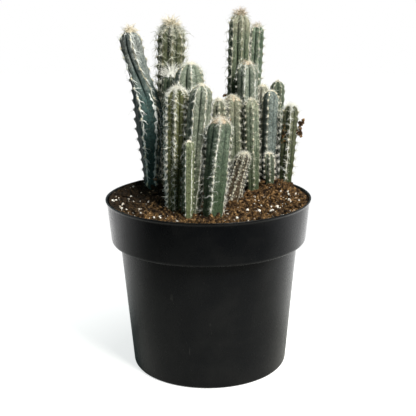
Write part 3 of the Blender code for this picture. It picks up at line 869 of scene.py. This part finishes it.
def bloom_group():
    """Colour of a waxy skin: bloom, painted shade in the creases, an older foot that is partly painted
    shade, and small scars.
    """
    group = bpy.data.node_groups.new("waxy bloom", "ShaderNodeTree")
    for name in ("Bloom", "Flesh", "Foot"):
        group.interface.new_socket(name, in_out="INPUT", socket_type="NodeSocketColor")
    group.interface.new_socket("Colour", in_out="OUTPUT", socket_type="NodeSocketColor")
    group.interface.new_socket("Height", in_out="OUTPUT", socket_type="NodeSocketFloat")
    source = group.nodes.new("NodeGroupInput")
    result = group.nodes.new("NodeGroupOutput")
    hollow = named_value(group, "groove")
    cloudy = noise_at(group, 90, 5, 0.65, (1, 1, 0.5))
    mottled = noise_at(group, 800, 3, 0.65, (1, 1, 0.6))
    streaky = noise_at(group, 330, 4, 0.6, (1, 1, 0.12))
    wiped = ranged(group, cloudy, 0.36, 0.70, 0, 0.55)
    wiped = maths(group, "ADD", wiped, ranged(group, mottled, 0.38, 0.66, 0, 0.38))
    wiped = maths(group, "ADD", wiped, ranged(group, streaky, 0.48, 0.72, 0, 0.25))
    # Painted shade: the darker flesh shows through in the creases, where shade falls.
    strength = named_value(group, "crease")
    crease = maths(group, "MULTIPLY", maths(group, "POWER", hollow, 7.0), strength)
    wiped = ranged(group, maths(group, "ADD", wiped, maths(group, "MULTIPLY", crease, 0.8)), 0.0, 1.0)
    tone = mixed(group, wiped, source.outputs["Bloom"], source.outputs["Flesh"])
    # Painted shade: the old foot tone rises from the soil, both for the skin's age and for the shade low
    # among the stems.
    youth = maths(group, "SUBTRACT", named_value(group, "youth"), maths(group, "MULTIPLY", cloudy, 0.7))
    old_and_shaded = ranged(group, youth, -0.35, 0.65, 0.9, 0.0)
    tone = mixed(group, old_and_shaded, tone, source.outputs["Foot"])
    crest = ranged(group, hollow, 0.04, 0.20, 1.0, 0.0)
    rubbed = maths(group, "MULTIPLY", crest, ranged(group, mottled, 0.38, 0.62, 0.1, 0.8))
    tone = mixed(group, rubbed, tone, (0.42, 0.39, 0.29))
    scars = ranged(group, noise_at(group, 620, 3, 0.7), 0.61, 0.69, 0, 0.65)
    tone = mixed(group, scars, tone, (0.27, 0.23, 0.15))
    # Painted shade: the bottom of each crease is painted almost black.
    deep = maths(group, "MULTIPLY", maths(group, "POWER", hollow, 16.0), 0.9)
    deep = maths(group, "MULTIPLY", deep, maths(group, "POWER", strength, 2.0))
    tone = mixed(group, deep, tone, (0.012, 0.018, 0.018))
    cover = ranged(group, mottled, 0.36, 0.60, 0.15, 0.8)
    cover = maths(group, "MULTIPLY", named_value(group, "felt"), cover)
    tone = mixed(group, cover, tone, (0.27, 0.255, 0.20))
    # Speckles of three sizes: number per metre, roughness, range, and how bright its ends are.
    # The middle size darkens random spots as painted shadow among the hairs.
    for scale, rough, low, high, at_low, at_high in (
            (1000, 0.7, 0.34, 0.66, 0.46, 1.56), (640, 0.7, 0.56, 0.66, 1.0, 0.50),
            (420, 0.55, 0.34, 0.66, 0.70, 1.28)):
        speckle = ranged(group, noise_at(group, scale, 3, rough), low, high, at_low, at_high)
        tone = multiplied(group, tone, speckle)
    # The tint holds each stem's own colour and the painted shade of its left side.
    tone = multiplied(group, tone, named_value(group, "tint", "Color"))
    group.links.new(tone, result.inputs["Colour"])
    relief = maths(group, "MULTIPLY", maths(group, "ADD", streaky, mottled), 0.5)
    group.links.new(relief, result.inputs["Height"])
    return group


# Each kind of skin: its bloom, the flesh that shows where the bloom is rubbed off, and its old foot, partly
# painted shade.
SKIN_TONES = {
    "blue": ((0.320, 0.340, 0.325), (0.080, 0.105, 0.105), (0.036, 0.086, 0.082)),
    "green": ((0.170, 0.195, 0.145), (0.034, 0.050, 0.034), (0.040, 0.062, 0.030)),
    "pale": ((0.275, 0.290, 0.230), (0.075, 0.096, 0.072), (0.062, 0.080, 0.042)),
    "olive": ((0.170, 0.180, 0.100), (0.055, 0.065, 0.030), (0.075, 0.085, 0.035)),
    "cork": ((0.090, 0.080, 0.058), (0.012, 0.012, 0.009), (0.070, 0.046, 0.026)),
}
skin_group = bloom_group()


def skin_finish(name):
    """One colour of waxy cactus skin."""
    finish, tree, shader = new_material(f"{name} skin", 0.6, 0.12)
    tint = tree.nodes.new("ShaderNodeGroup")
    tint.node_tree = skin_group
    for socket, colour in zip(("Bloom", "Flesh", "Foot"), SKIN_TONES[name]):
        tint.inputs[socket].default_value = (*colour, 1)
    tree.links.new(tint.outputs["Colour"], shader.inputs["Base Color"])
    bump(tree, shader, tint.outputs["Height"], 0.0006, 0.8)
    return finish


stems = [Stem(*row) for row in STEMS]
skins = {name: skin_finish(name) for name in SKIN_TONES}
for stem in stems:
    body = make_piece(f"skin_{stem.name}", skin_mesh(stem), skins[stem.skin], 70)
    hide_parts(f"stem_{stem.name}")

# Areoles
# Cushions of short wool along every crest, each with a star of stiff thin spines round it, three
# that point outward, and on most stems soft hairs that hang from it or lie in tufts under it.

# A pad's usual size, the least share of it that a thin stem has, and how much that share grows
# for each millimetre of a stem's radius.
PAD_SIZE = 0.62 * MM
PAD_LEAST = 0.75
PAD_GROWTH = 0.03
RADIAL_SPINES = 11
CENTRAL_SPINES = 3
FUZZ_HAIRS = 4
# Thickness of the round star's spines, of the outward ones and of the fuzz, per spine length.
RADIAL_THICKNESS = 0.036
CENTRAL_THICKNESS = 0.044
FUZZ_THICKNESS = 0.05
# How large each stem's pads are, and how far in millimetres they stray from the crest, where they
# aren't the usual.
PAD_SHARES = {"front_left_spiny": 1.25, "far_left_leaning": 1.5, "front_left_low": 0.6, "right_back": 0.6,
              "right_smooth": 1.5, "left_white_haired": 0.6}
COMMON_STRAY = 0.15
PAD_STRAYS = {"middle_low_corky": 1.3, "front_left_spiny": 0.5, "far_right": 0.4, "middle_slim": 0.5,
              "middle_felted": 0.5, "right_slim": 0.4, "right_back_slim": 0.5, "back_left_hairy": 0.8}
# How many parts a short hair is made of, and how many its curve is worked out in.
STRAND_STEPS = 4
CURVE_PARTS = 24
PAD_ROUGHNESS = 0.22


def fibre_finish(name, pale, dark, roughness=0.6):
    """Dry plant fibre: spines, hairs or matted wool, darker in places."""
    finish, tree, shader = new_material(name, roughness, 0.1)
    tuft = noise_at(tree, 900, 4, 0.7)
    tone = mixed(tree, ranged(tree, tuft, 0.38, 0.64), dark, pale)
    tree.links.new(tone, shader.inputs["Base Color"])
    return finish


def add_spine(bm, direction, length, thickness):
    """A straight three-sided spine from the origin."""
    turn = direction.to_track_quat("Z", "Y").to_matrix().to_4x4()
    bmesh.ops.create_cone(bm, cap_ends=True, segments=3, radius1=thickness, radius2=0, depth=length,
                          matrix=Matrix.Translation(direction * length / 2) @ turn)


def star_templates(count, seed):
    """Stars of spines one spine long, on a skin that faces +Z with the way up along +Y."""
    draw = random.Random(seed)
    templates = []
    for _ in range(count):
        bm = bmesh.new()
        for number in range(RADIAL_SPINES):
            angle = math.tau * (number + draw.uniform(-0.3, 0.3)) / RADIAL_SPINES
            lift = draw.uniform(0.1, 0.9)
            flat = math.cos(lift)
            direction = Vector((math.cos(angle) * flat, math.sin(angle) * flat, math.sin(lift)))
            add_spine(bm, direction, draw.uniform(0.5, 1.6), RADIAL_THICKNESS)
        for _ in range(CENTRAL_SPINES):
            direction = Vector((draw.uniform(-0.5, 0.5), draw.uniform(-0.7, 0.5), 1)).normalized()
            add_spine(bm, direction, draw.uniform(0.9, 1.6), CENTRAL_THICKNESS)
        for _ in range(FUZZ_HAIRS):
            direction = Vector((draw.uniform(-0.8, 0.8), draw.uniform(-0.8, 0.9), 0.8)).normalized()
            add_spine(bm, direction, draw.uniform(0.3, 0.6), FUZZ_THICKNESS)
        bmesh.ops.remove_doubles(bm, verts=bm.verts, dist=0.0005)
        templates.append(kept_mesh("template", bm))
    return templates


def strand_templates(count, seed, steps, start, turn_over, waves, thickness):
    """Soft wavy hairs one hair long that rise along +Z and bend over towards +Y, by radians."""
    draw = random.Random(seed)
    templates = []
    for _ in range(count):
        lean = start * draw.uniform(0.6, 1.4)
        over = turn_over * draw.uniform(0.7, 1.2)
        swing = draw.uniform(0.5, 1.2) * waves
        phase = draw.uniform(0, math.tau)
        centres = [Vector((0, 0, 0))]
        for part in range(CURVE_PARTS):
            share = (part + 0.5) / CURVE_PARTS
            pitch = lean + over * share ** 0.7
            sway = swing * math.sin(math.tau * 1.4 * share + phase) * min(1, 3 * share)
            along = Vector((sway, math.sin(pitch), math.cos(pitch))).normalized()
            centres.append(centres[-1] + along / CURVE_PARTS)
        bm = column(3, steps, thickness, 0.3 * thickness)
        across = Vector((1, 0, 0))
        for vert in bm.verts:
            number = round((vert.co.z + 0.5) * CURVE_PARTS)
            along = centres[min(number + 1, CURVE_PARTS)] - centres[max(number - 1, 0)]
            deep = along.normalized().cross(across)
            vert.co = centres[number] + across * vert.co.x + deep * vert.co.y
        bmesh.ops.recalc_face_normals(bm, faces=bm.faces)
        templates.append(kept_mesh("template", bm))
    return templates


def pad_templates(count, seed):
    """Low cushions of wool that face +Z, longer along +Y."""
    draw = random.Random(seed)
    templates = []
    for _ in range(count):
        bm = bmesh.new()
        bmesh.ops.create_uvsphere(bm, u_segments=6, v_segments=4, radius=1)
        for vert in bm.verts:
            vert.co *= 1 + draw.uniform(-PAD_ROUGHNESS, PAD_ROUGHNESS)
        bmesh.ops.scale(bm, verts=bm.verts, vec=(1, draw.uniform(1.4, 2.4), 0.6))
        templates.append(kept_mesh("template", bm))
    return templates


def facing(point, normal, up, spin, size):
    """A matrix that stands a template on a skin."""
    side = up.cross(normal).normalized()
    top = normal.cross(side)
    turn = Matrix((side, top, normal)).transposed().to_4x4()
    return Matrix.Translation(point) @ turn @ Matrix.Rotation(spin, 4, "Z") @ Matrix.Scale(size, 4)


# Per stem: flat tufts of hair under each areole, their length in millimetres, and how far they
# swing to the right of straight down.
TUFTS = {
    "far_left_leaning": (4, 8, 0.65),
    "back_left_hairy": (3, 7, 1.2),
    "left_pale": (1, 5, 0.3),
    "front_left_spiny": (1, 4.5, 0.8),
    "front_left": (1, 4, 0.3),
    "back_tallest": (1, 6, -0.5),
    "right_of_middle": (1, 5, 0.3),
    "middle_felted": (1, 4, 0),
    "front_middle": (1, 3.6, 0),
    "middle_low_corky": (2, 4, 1.2),
    "far_right": (1, 4, 0.6),
}
# Per stem: crests whose wool has grown into one pale line, each as the rib's number, the part of
# the height, and the width in millimetres.
CREST_LINES = {
    "far_left_leaning": ((4, 0.0, 0.93, 0.85), (-0.15, 0.0, 0.62, 1.3)),
    "left_white_haired": ((6, 0.0, 0.75, 0.4),),
    "front_left_spiny": ((6, 0.0, 0.9, 0.25),),
    "front_left": ((0, 0.1, 0.95, 0.2), (1, 0.0, 0.9, 0.2)),
    "front_left_low": ((0, 0.0, 0.9, 0.25), (4, 0.0, 0.9, 0.25)),
    "front_middle": ((0, 0.0, 0.95, 0.25), (1, 0.0, 0.95, 0.2), (3, 0.1, 0.9, 0.25)),
    "right_of_middle": ((0, 0.1, 0.95, 0.3), (1, 0.1, 0.9, 0.25)),
    "middle_felted": ((0, 0.2, 0.8, 0.2), (1, 0.1, 0.9, 0.25)),
    "right_slim": ((0, 0.1, 0.8, 0.2), (1, 0.1, 0.9, 0.25)),
    "right_smooth": ((1, 0.1, 0.95, 0.2),),
    "far_right": ((0, 0.05, 0.95, 0.3), (4, 0.05, 0.9, 0.2)),
    "back_tallest": ((1, 0.2, 0.95, 0.35), (6, 0.3, 0.95, 0.25)),
    "left_pale": ((0, 0.3, 0.9, 0.2),),
}
LINE_STEP = 1.1 * MM
LINE_SWAY = 0.07
LINE_FLATNESS = 0.7
# Tufts grow above the foot, and not on the side that faces away from the light.
TUFT_FOOT = 0.05
BARE_SIDE = -0.7


def add_crest_line(bm, stem, rib, low, high, width, draw):
    """Adds a wavy line of matted hairs along a crest, as a thin closed tube."""
    bottom, top = (stem.ground + share * (stem.tip.z - stem.ground) for share in (low, high))
    steps = round((top - bottom) / LINE_STEP)
    phase = draw.uniform(0, 50)
    tube = column(4, steps)
    for vert in tube.verts:
        share = vert.co.z + 0.5
        z = bottom + (top - bottom) * share
        sway = noise.noise(Vector((z / MM / 3.2, phase, 0)))
        sway += 0.6 * noise.noise(Vector((z / MM / 1.2, phase, 5)))
        lump = noise.noise(Vector((z / MM / 1.7, phase, 9)))
        thick = width * max(0.2, 0.9 + 1.6 * lump) * min(1, 0.1 + 9 * share, 0.1 + 9 * (1 - share))
        out = stem.outward(rib, z)
        side = Vector((-out.y, out.x, 0))
        across = side * vert.co.x + out * LINE_FLATNESS * vert.co.y
        vert.co = stem.skin_point(z, rib + LINE_SWAY * sway) + across * thick
    bmesh.ops.recalc_face_normals(tube, faces=tube.faces)
    line = kept_mesh("line", tube)
    bm.from_mesh(line)
    bpy.data.meshes.remove(line)


areole_wool = fibre_finish("areole wool", (0.80, 0.75, 0.58), (0.44, 0.38, 0.26), 0.9)
spine_horn = fibre_finish("spine horn", (0.90, 0.89, 0.82), (0.62, 0.61, 0.54), 0.5)
hair_silk = fibre_finish("hair", (0.93, 0.95, 0.92), (0.78, 0.79, 0.74), 0.5)
hair_dull = fibre_finish("dull hair", (0.66, 0.66, 0.54), (0.26, 0.27, 0.20), 0.7)
DULL_HAIRED = ("middle_felted", "middle_slim", "right_slim", "right_back_slim", "back_left_hairy",
               "back_tallest", "middle_low_corky", "right_low")


def hair_finish(stem):
    """The silky or dull hair that a stem has."""
    return hair_dull if stem.name in DULL_HAIRED else hair_silk


stars = star_templates(8, 14)
pads = pad_templates(6, 9)
hanging_hairs = strand_templates(8, 41, STRAND_STEPS, 0.5, 1.35, 0.5, 0.021)
lying_hairs = strand_templates(8, 52, STRAND_STEPS, 1.05, 0.55, 0.5, 0.042)
for stem in stems:
    draw = random.Random(stem.name)
    spine_bm = bmesh.new()
    pad_bm = bmesh.new()
    hair_bm = bmesh.new()
    for point, normal, up, _ in stem.areoles():
        size = draw.uniform(0.8, 1.25)
        spin = draw.uniform(-0.35, 0.35)
        add_copy(spine_bm, draw.choice(stars), facing(point, normal, up, spin, size * stem.spine))
        pad_size = draw.uniform(0.45, 1.25) * PAD_SIZE * (PAD_LEAST + PAD_GROWTH * stem.radius / MM)
        pad_size *= PAD_SHARES.get(stem.name, 1)
        stray = up.cross(normal) * draw.gauss(0, PAD_STRAYS.get(stem.name, COMMON_STRAY)) * MM
        add_copy(pad_bm, draw.choice(pads),
                 facing(point + stray, normal, up, draw.uniform(-0.4, 0.4), pad_size))
        for _ in range(stem.hairs):
            spin = draw.choice((math.pi, math.pi, math.pi, 0)) + draw.gauss(0, 0.7)
            add_copy(hair_bm, draw.choice(hanging_hairs),
                     facing(point, normal, up, spin, stem.hair * draw.uniform(0.7, 1.2)))
    spines = make_piece(f"spines_{stem.name}", spine_bm, spine_horn)
    wool = make_piece(f"areoles_{stem.name}", pad_bm, areole_wool, 100)
    tufts, reach, lean = TUFTS.get(stem.name, (0, 0, 0))
    for point, normal, up, share in stem.areoles() * tufts:
        swing = draw.gauss(lean, 0.35)
        if share < TUFT_FOOT or normal.x < BARE_SIDE:
            continue
        face = (normal + 0.9 * swing * up.cross(normal)).normalized()
        add_copy(hair_bm, draw.choice(lying_hairs),
                 facing(point, face, up, math.pi + swing, reach * MM * draw.uniform(0.6, 1.2)))
    for rib, low, high, width in CREST_LINES.get(stem.name, ()):
        add_crest_line(hair_bm, stem, rib, low, high, width * MM, draw)
    if hair_bm.verts:
        hairs = make_piece(f"hairs_{stem.name}", hair_bm, hair_finish(stem), 80)

# Crowns
# The newest areoles crowd together on each growing tip, so it is capped with wool: matted felt
# close to the skin, and loose hairs that stand up and out of it.

# Per stem: share of the dome's height that is felted, felt height, hairs, their length, and how
# far the outer ones lean from upright, in radians.
CROWNS = {
    "far_left_leaning": (0.10, 2.2, 210, 8.5, 0.8),
    "back_left_hairy": (0.06, 3.0, 260, 12.5, 0.8),
    "left_pale": (0.05, 1.0, 90, 4.5, 1.0),
    "left_white_haired": (0.35, 1.2, 120, 12.5, 0.7),
    "front_left_spiny": (0.05, 1.0, 60, 4.8, 0.9),
    "front_left": (0.04, 0.7, 50, 4.0, 1.0),
    "front_left_low": (0.12, 0.6, 16, 2.4, 0.6),
    "front_middle": (0.30, 1.1, 260, 4.5, 1.35),
    "middle_slim": (0.10, 1.0, 60, 4.2, 0.9),
    "middle_felted": (0.40, 1.0, 260, 2.2, 1.2),
    "back_tallest": (0.10, 2.4, 220, 8.5, 0.8),
    "back_slender": (0.16, 1.8, 120, 5.2, 0.7),
    "right_of_middle": (0.12, 1.8, 150, 4.4, 0.8),
    "right_slim": (0.07, 0.8, 60, 3.2, 1.0),
    "middle_low_corky": (0.10, 0.8, 60, 3.2, 0.9),
    "right_smooth": (0.03, 0.4, 40, 2.4, 1.1),
    "right_back_slim": (0.12, 1.0, 100, 3.4, 1.0),
    "right_back": (0.03, 0.5, 40, 2.6, 0.9),
    "right_low": (0.14, 0.8, 40, 2.8, 0.9),
    "far_right": (0.12, 1.2, 110, 4.6, 0.9),
}
TOP_LIMIT = cad_box[1][2] - 0.2 * MM
# The hairs stand on a little more of the dome than the felt covers, and just inside its skin.
HAIRY_SHARE = 1.15
ROOT_SPREAD = 0.93


def felt_cap(stem, cover, height, draw):
    """The matted felt: the top of a ball that fits over the dome, closed underneath."""
    bm = bmesh.new()
    bmesh.ops.create_uvsphere(bm, u_segments=28, v_segments=24, radius=1)
    cut = bmesh.ops.bisect_plane(bm, geom=bm.verts[:] + bm.edges[:] + bm.faces[:],
                                 plane_co=(0, 0, 1 - cover), plane_no=(0, 0, -1), clear_outer=True)
    rim = [e for e in cut["geom_cut"] if isinstance(e, bmesh.types.BMEdge)]
    bmesh.ops.edgeloop_fill(bm, edges=rim)
    centre = stem.middle(stem.tip.z) - Vector((0, 0, stem.dome))
    offset = Vector((draw.uniform(0, 50), 0, 0))
    for vert in bm.verts:
        rise = (vert.co.z - (1 - cover)) / cover
        lump = noise.noise(vert.co * 4.5 + offset)
        spread = stem.tip_radius * (0.88 + 0.35 * lump)
        vert.co = centre + Vector((vert.co.x * spread, vert.co.y * spread,
                                   vert.co.z * stem.dome + height * rise * (0.75 + 0.5 * lump)))
    bmesh.ops.recalc_face_normals(bm, faces=bm.faces)
    return bm


wools = {
    "cream": fibre_finish("cream wool", (0.90, 0.85, 0.72), (0.66, 0.56, 0.40), 0.9),
    "white": fibre_finish("white wool", (0.92, 0.92, 0.88), (0.68, 0.66, 0.60), 0.9),
    "tan": fibre_finish("tan felt", (0.62, 0.53, 0.41), (0.34, 0.26, 0.17), 0.9),
}
crown_hairs = strand_templates(10, 77, STRAND_STEPS, 0.1, 0.9, 0.45, 0.024)
for stem in stems:
    cover, height, count, length, lean = CROWNS[stem.name]
    draw = random.Random("crown " + stem.name)
    bm = felt_cap(stem, cover, height * MM, draw)
    for _ in range(count):
        share = math.sqrt(draw.random())
        pitch = math.acos(1 - cover * HAIRY_SHARE) * share
        angle = draw.uniform(0, math.tau)
        out = Vector((math.cos(angle), math.sin(angle), 0))
        root = stem.middle(stem.tip.z) + out * stem.tip_radius * ROOT_SPREAD * math.sin(pitch)
        root.z += stem.dome * (math.cos(pitch) - 1) + height * MM * (1 - share) * 0.7
        tilt = lean * share ** 0.8 + draw.gauss(0, 0.22)
        normal = (out * math.sin(tilt) + Vector((0, 0, math.cos(tilt)))).normalized()
        size = length * MM * draw.uniform(0.55, 1.15) * (1.05 - 0.35 * share)
        size = min(size, TOP_LIMIT - root.z)
        across = normal.cross(Vector((out.y, -out.x, 0))).normalized()
        add_copy(bm, draw.choice(crown_hairs), facing(root, normal, across, draw.gauss(0, 1.2), size))
    crown = make_piece(f"crown_wool_{stem.name}", bm, wools[stem.wool], 80)
    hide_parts(f"crown_{stem.name}")

# Cobweb hairs
# Long curly hairs that trail across the ribs of the shaggy stems and catch on the spines, and
# short matted ones on the others.

# Per stem: hairs, their length in millimetres, and the part of the climb that they cover.
WEBS = {
    "far_left_leaning": (60, 10, 0.3, 1.0),
    "back_left_hairy": (360, 14, 0.35, 1.0),
    "left_white_haired": (40, 9, 0.7, 1.0),
    "front_left_spiny": (440, 5.5, 0.0, 1.0),
    "left_pale": (60, 9, 0.4, 1.0),
    "back_tallest": (170, 12, 0.3, 0.95),
    "right_of_middle": (90, 9, 0.3, 1.0),
    "middle_felted": (260, 6, 0.2, 1.0),
    "front_middle": (60, 8, 0.1, 1.0),
    "far_right": (190, 6, 0.0, 1.0),
    "front_left": (50, 8, 0.2, 1.0),
    "back_slender": (40, 8, 0.4, 1.0),
    "middle_slim": (170, 5, 0.2, 1.0),
    "right_slim": (170, 6, 0.2, 1.0),
    "right_back_slim": (160, 6, 0.4, 1.0),
    "right_back": (24, 7, 0.4, 1.0),
    "right_smooth": (16, 7, 0.3, 1.0),
    "middle_low_corky": (240, 5, 0.0, 1.0),
}
# The longest of the short hairs, in millimetres.
SHORT_WEB = 6
long_hairs = strand_templates(10, 5, 9, 0.7, 1.35, 1.1, 0.0185)
short_hairs = strand_templates(10, 6, 6, 0.8, 1.2, 1.0, 0.036)
for stem in stems:
    if stem.name not in WEBS:
        continue
    count, length, low, high = WEBS[stem.name]
    draw = random.Random("web " + stem.name)
    places = [place for place in stem.areoles() if low <= place[3] <= high]
    bm = bmesh.new()
    strands = long_hairs if length > SHORT_WEB else short_hairs
    for _ in range(count):
        point, normal, up, _ = draw.choice(places)
        add_copy(bm, draw.choice(strands),
                 facing(point, normal, up, draw.uniform(0, math.tau), length * MM * draw.uniform(0.6, 1.15)))
    web = make_piece(f"web_{stem.name}", bm, hair_finish(stem), 80)

# Caught peat
# Crumbs of peat and one chip of bark that stuck to the spines when the pot was filled, each held
# by the hairs round it.

# Per clump: place in millimetres, lumps, spread (x, y, z) and lump radius.
PEAT_CLUMPS = (
    ((94.6, 29, 241), 12, (1.4, 1.2, 1.6), 1.4),
    ((92.6, 29, 238.5), 18, (2.4, 1.2, 2.2), 1.7),
    ((91.2, 29, 234), 8, (1.0, 1.2, 2.0), 1.5),
    ((91.2, 29, 229.5), 18, (2.4, 1.2, 2.8), 1.7),
    ((92.6, 29, 226), 7, (1.0, 1.0, 1.6), 1.3),
    ((15.3, 20, 267.7), 7, (1.6, 0.8, 0.9), 1.4),
    ((21.3, -17, 247), 10, (0.8, 0.7, 3.2), 1.0),
    ((75.5, 27, 228), 22, (2.4, 1.6, 12.0), 1.0),
    ((-56.5, 37, 180), 5, (1.2, 0.8, 1.2), 1.4),
)
CAUGHT_CHIP_PLACE = (-56, 33, 180)
CAUGHT_CHIP_SHAPE = (1.9 * MM, MM, 1.7 * MM)
draw = random.Random(61)
bm = bmesh.new()
for place, count, spread, radius in PEAT_CLUMPS:
    for _ in range(count):
        centre = Vector(place) + Vector([draw.gauss(0, 0.5) * s for s in spread])
        size = radius * draw.uniform(0.6, 1.2) * MM
        turn = Matrix.Rotation(draw.uniform(0, math.tau), 4, Vector((1, draw.random(), draw.random())))
        shape = Matrix.Diagonal((size, size * draw.uniform(0.6, 1), size * 0.8, 1))
        add_copy(bm, draw.choice(clods), Matrix.Translation(centre * MM) @ turn @ shape)
caught = make_piece("caught_peat", bm, rich_peat)
bm = bmesh.new()
shape = Matrix.Diagonal((*CAUGHT_CHIP_SHAPE, 1))
add_copy(bm, clods[0], Matrix.Translation(Vector(CAUGHT_CHIP_PLACE) * MM) @ shape)
chip_piece = make_piece("caught_bark", bm, bark_brown)

# Studio
# A white sweep, one soft key light from the front right, and a camera at the height and
# distance that the rim, collar and foot of the pot give.
CAMERA_PLACE = (0.0267, -0.779, 0.3655)
CAMERA_PITCH = 14.9
CAMERA_SHIFT = -27.6 / 416
CAMERA_LENS = 70
KEY_PLACE = (0.52, -0.66, 1.02)
KEY_AIM = (0, 0, 0.2)
KEY_SIZE = 0.42
KEY_POWER = 25

lens = bpy.data.cameras.new("camera")
lens.lens = CAMERA_LENS
lens.sensor_width = 36
lens.shift_x = CAMERA_SHIFT
camera = in_scene("camera", lens)
camera.location = CAMERA_PLACE
camera.rotation_euler = (math.radians(90 - CAMERA_PITCH), 0, 0)
bpy.context.scene.camera = camera
bpy.context.scene.view_settings.view_transform = "Standard"

world = bpy.data.worlds.new("white room")
world.use_nodes = True
bpy.context.scene.world = world
tree = world.node_tree
background = tree.nodes["Background"]
way = coordinates(tree, "Generated")
glow = ranged(tree, way["Z"], 0.0, 1.0, 0.03, 0.22)
# The light of the room from the right, left, back and front: axis, two places on it, light there.
for axis, start, end, at_start, at_end in (("X", 0.1, 1.0, 0, 0.55), ("X", -1.0, -0.3, 0.22, 0),
                                           ("Y", 0.0, 1.0, 0, 0.25), ("Y", -1.0, -0.2, 0.18, 0)):
    glow = maths(tree, "ADD", glow, ranged(tree, way[axis], start, end, at_start, at_end))
path = tree.nodes.new("ShaderNodeLightPath")
glow = maths(tree, "MAXIMUM", glow, path.outputs["Is Camera Ray"])
tree.links.new(glow, background.inputs["Strength"])
tint = mixed(tree, ranged(tree, way["X"], -0.4, 0.4), (0.68, 1.0, 1.02), (0.96, 0.98, 0.95))
tint = mixed(tree, path.outputs["Is Camera Ray"], tint, (1.0, 1.0, 1.0))
tree.links.new(tint, background.inputs["Color"])

lamp = bpy.data.lights.new("key", "AREA")
lamp.shape = "SQUARE"
lamp.size = KEY_SIZE
lamp.energy = KEY_POWER
lamp.color = (1.0, 0.98, 0.94)
key = in_scene("key", lamp)
key.location = KEY_PLACE
key.rotation_euler = (Vector(KEY_AIM) - Vector(KEY_PLACE)).to_track_quat("-Z", "Y").to_euler()

bm = bmesh.new()
bmesh.ops.create_grid(bm, x_segments=2, y_segments=2, size=3)
floor_piece = in_scene("floor", kept_mesh("floor", bm))
floor_finish, tree, shader = new_material("white sweep", 0.9, 0)
place = tree.nodes.new("ShaderNodeTexCoord")
reach = tree.nodes.new("ShaderNodeVectorMath")
reach.operation = "LENGTH"
tree.links.new(place.outputs["Object"], reach.inputs[0])
path = tree.nodes.new("ShaderNodeLightPath")
far = ranged(tree, reach.outputs["Value"], 0.2, 0.36)
tree.links.new(mixed(tree, far, (0.56, 0.56, 0.54), (0.02, 0.02, 0.02)), shader.inputs["Base Color"])
shader.inputs["Emission Color"].default_value = (1, 1, 1, 1)
shine = ranged(tree, reach.outputs["Value"], 0.1, 0.26, 0.72, 1.0)
shine = maths(tree, "MULTIPLY", path.outputs["Is Camera Ray"], shine)
# The pot's gloss mirrors both sides of the sweep, which are brighter there than the camera sees.
spot = coordinates(tree)
at_left = ranged(tree, maths(tree, "SUBTRACT", spot["Y"], spot["X"]), 0.15, 0.6, 0, 1.6)
at_right = ranged(tree, maths(tree, "ADD", spot["X"], spot["Y"]), 0.12, 0.5, 0, 1.7)
mirrored = maths(tree, "MULTIPLY", path.outputs["Is Glossy Ray"], maths(tree, "ADD", at_left, at_right))
tree.links.new(maths(tree, "ADD", shine, mirrored), shader.inputs["Emission Strength"])
floor_piece.data.materials.append(floor_finish)
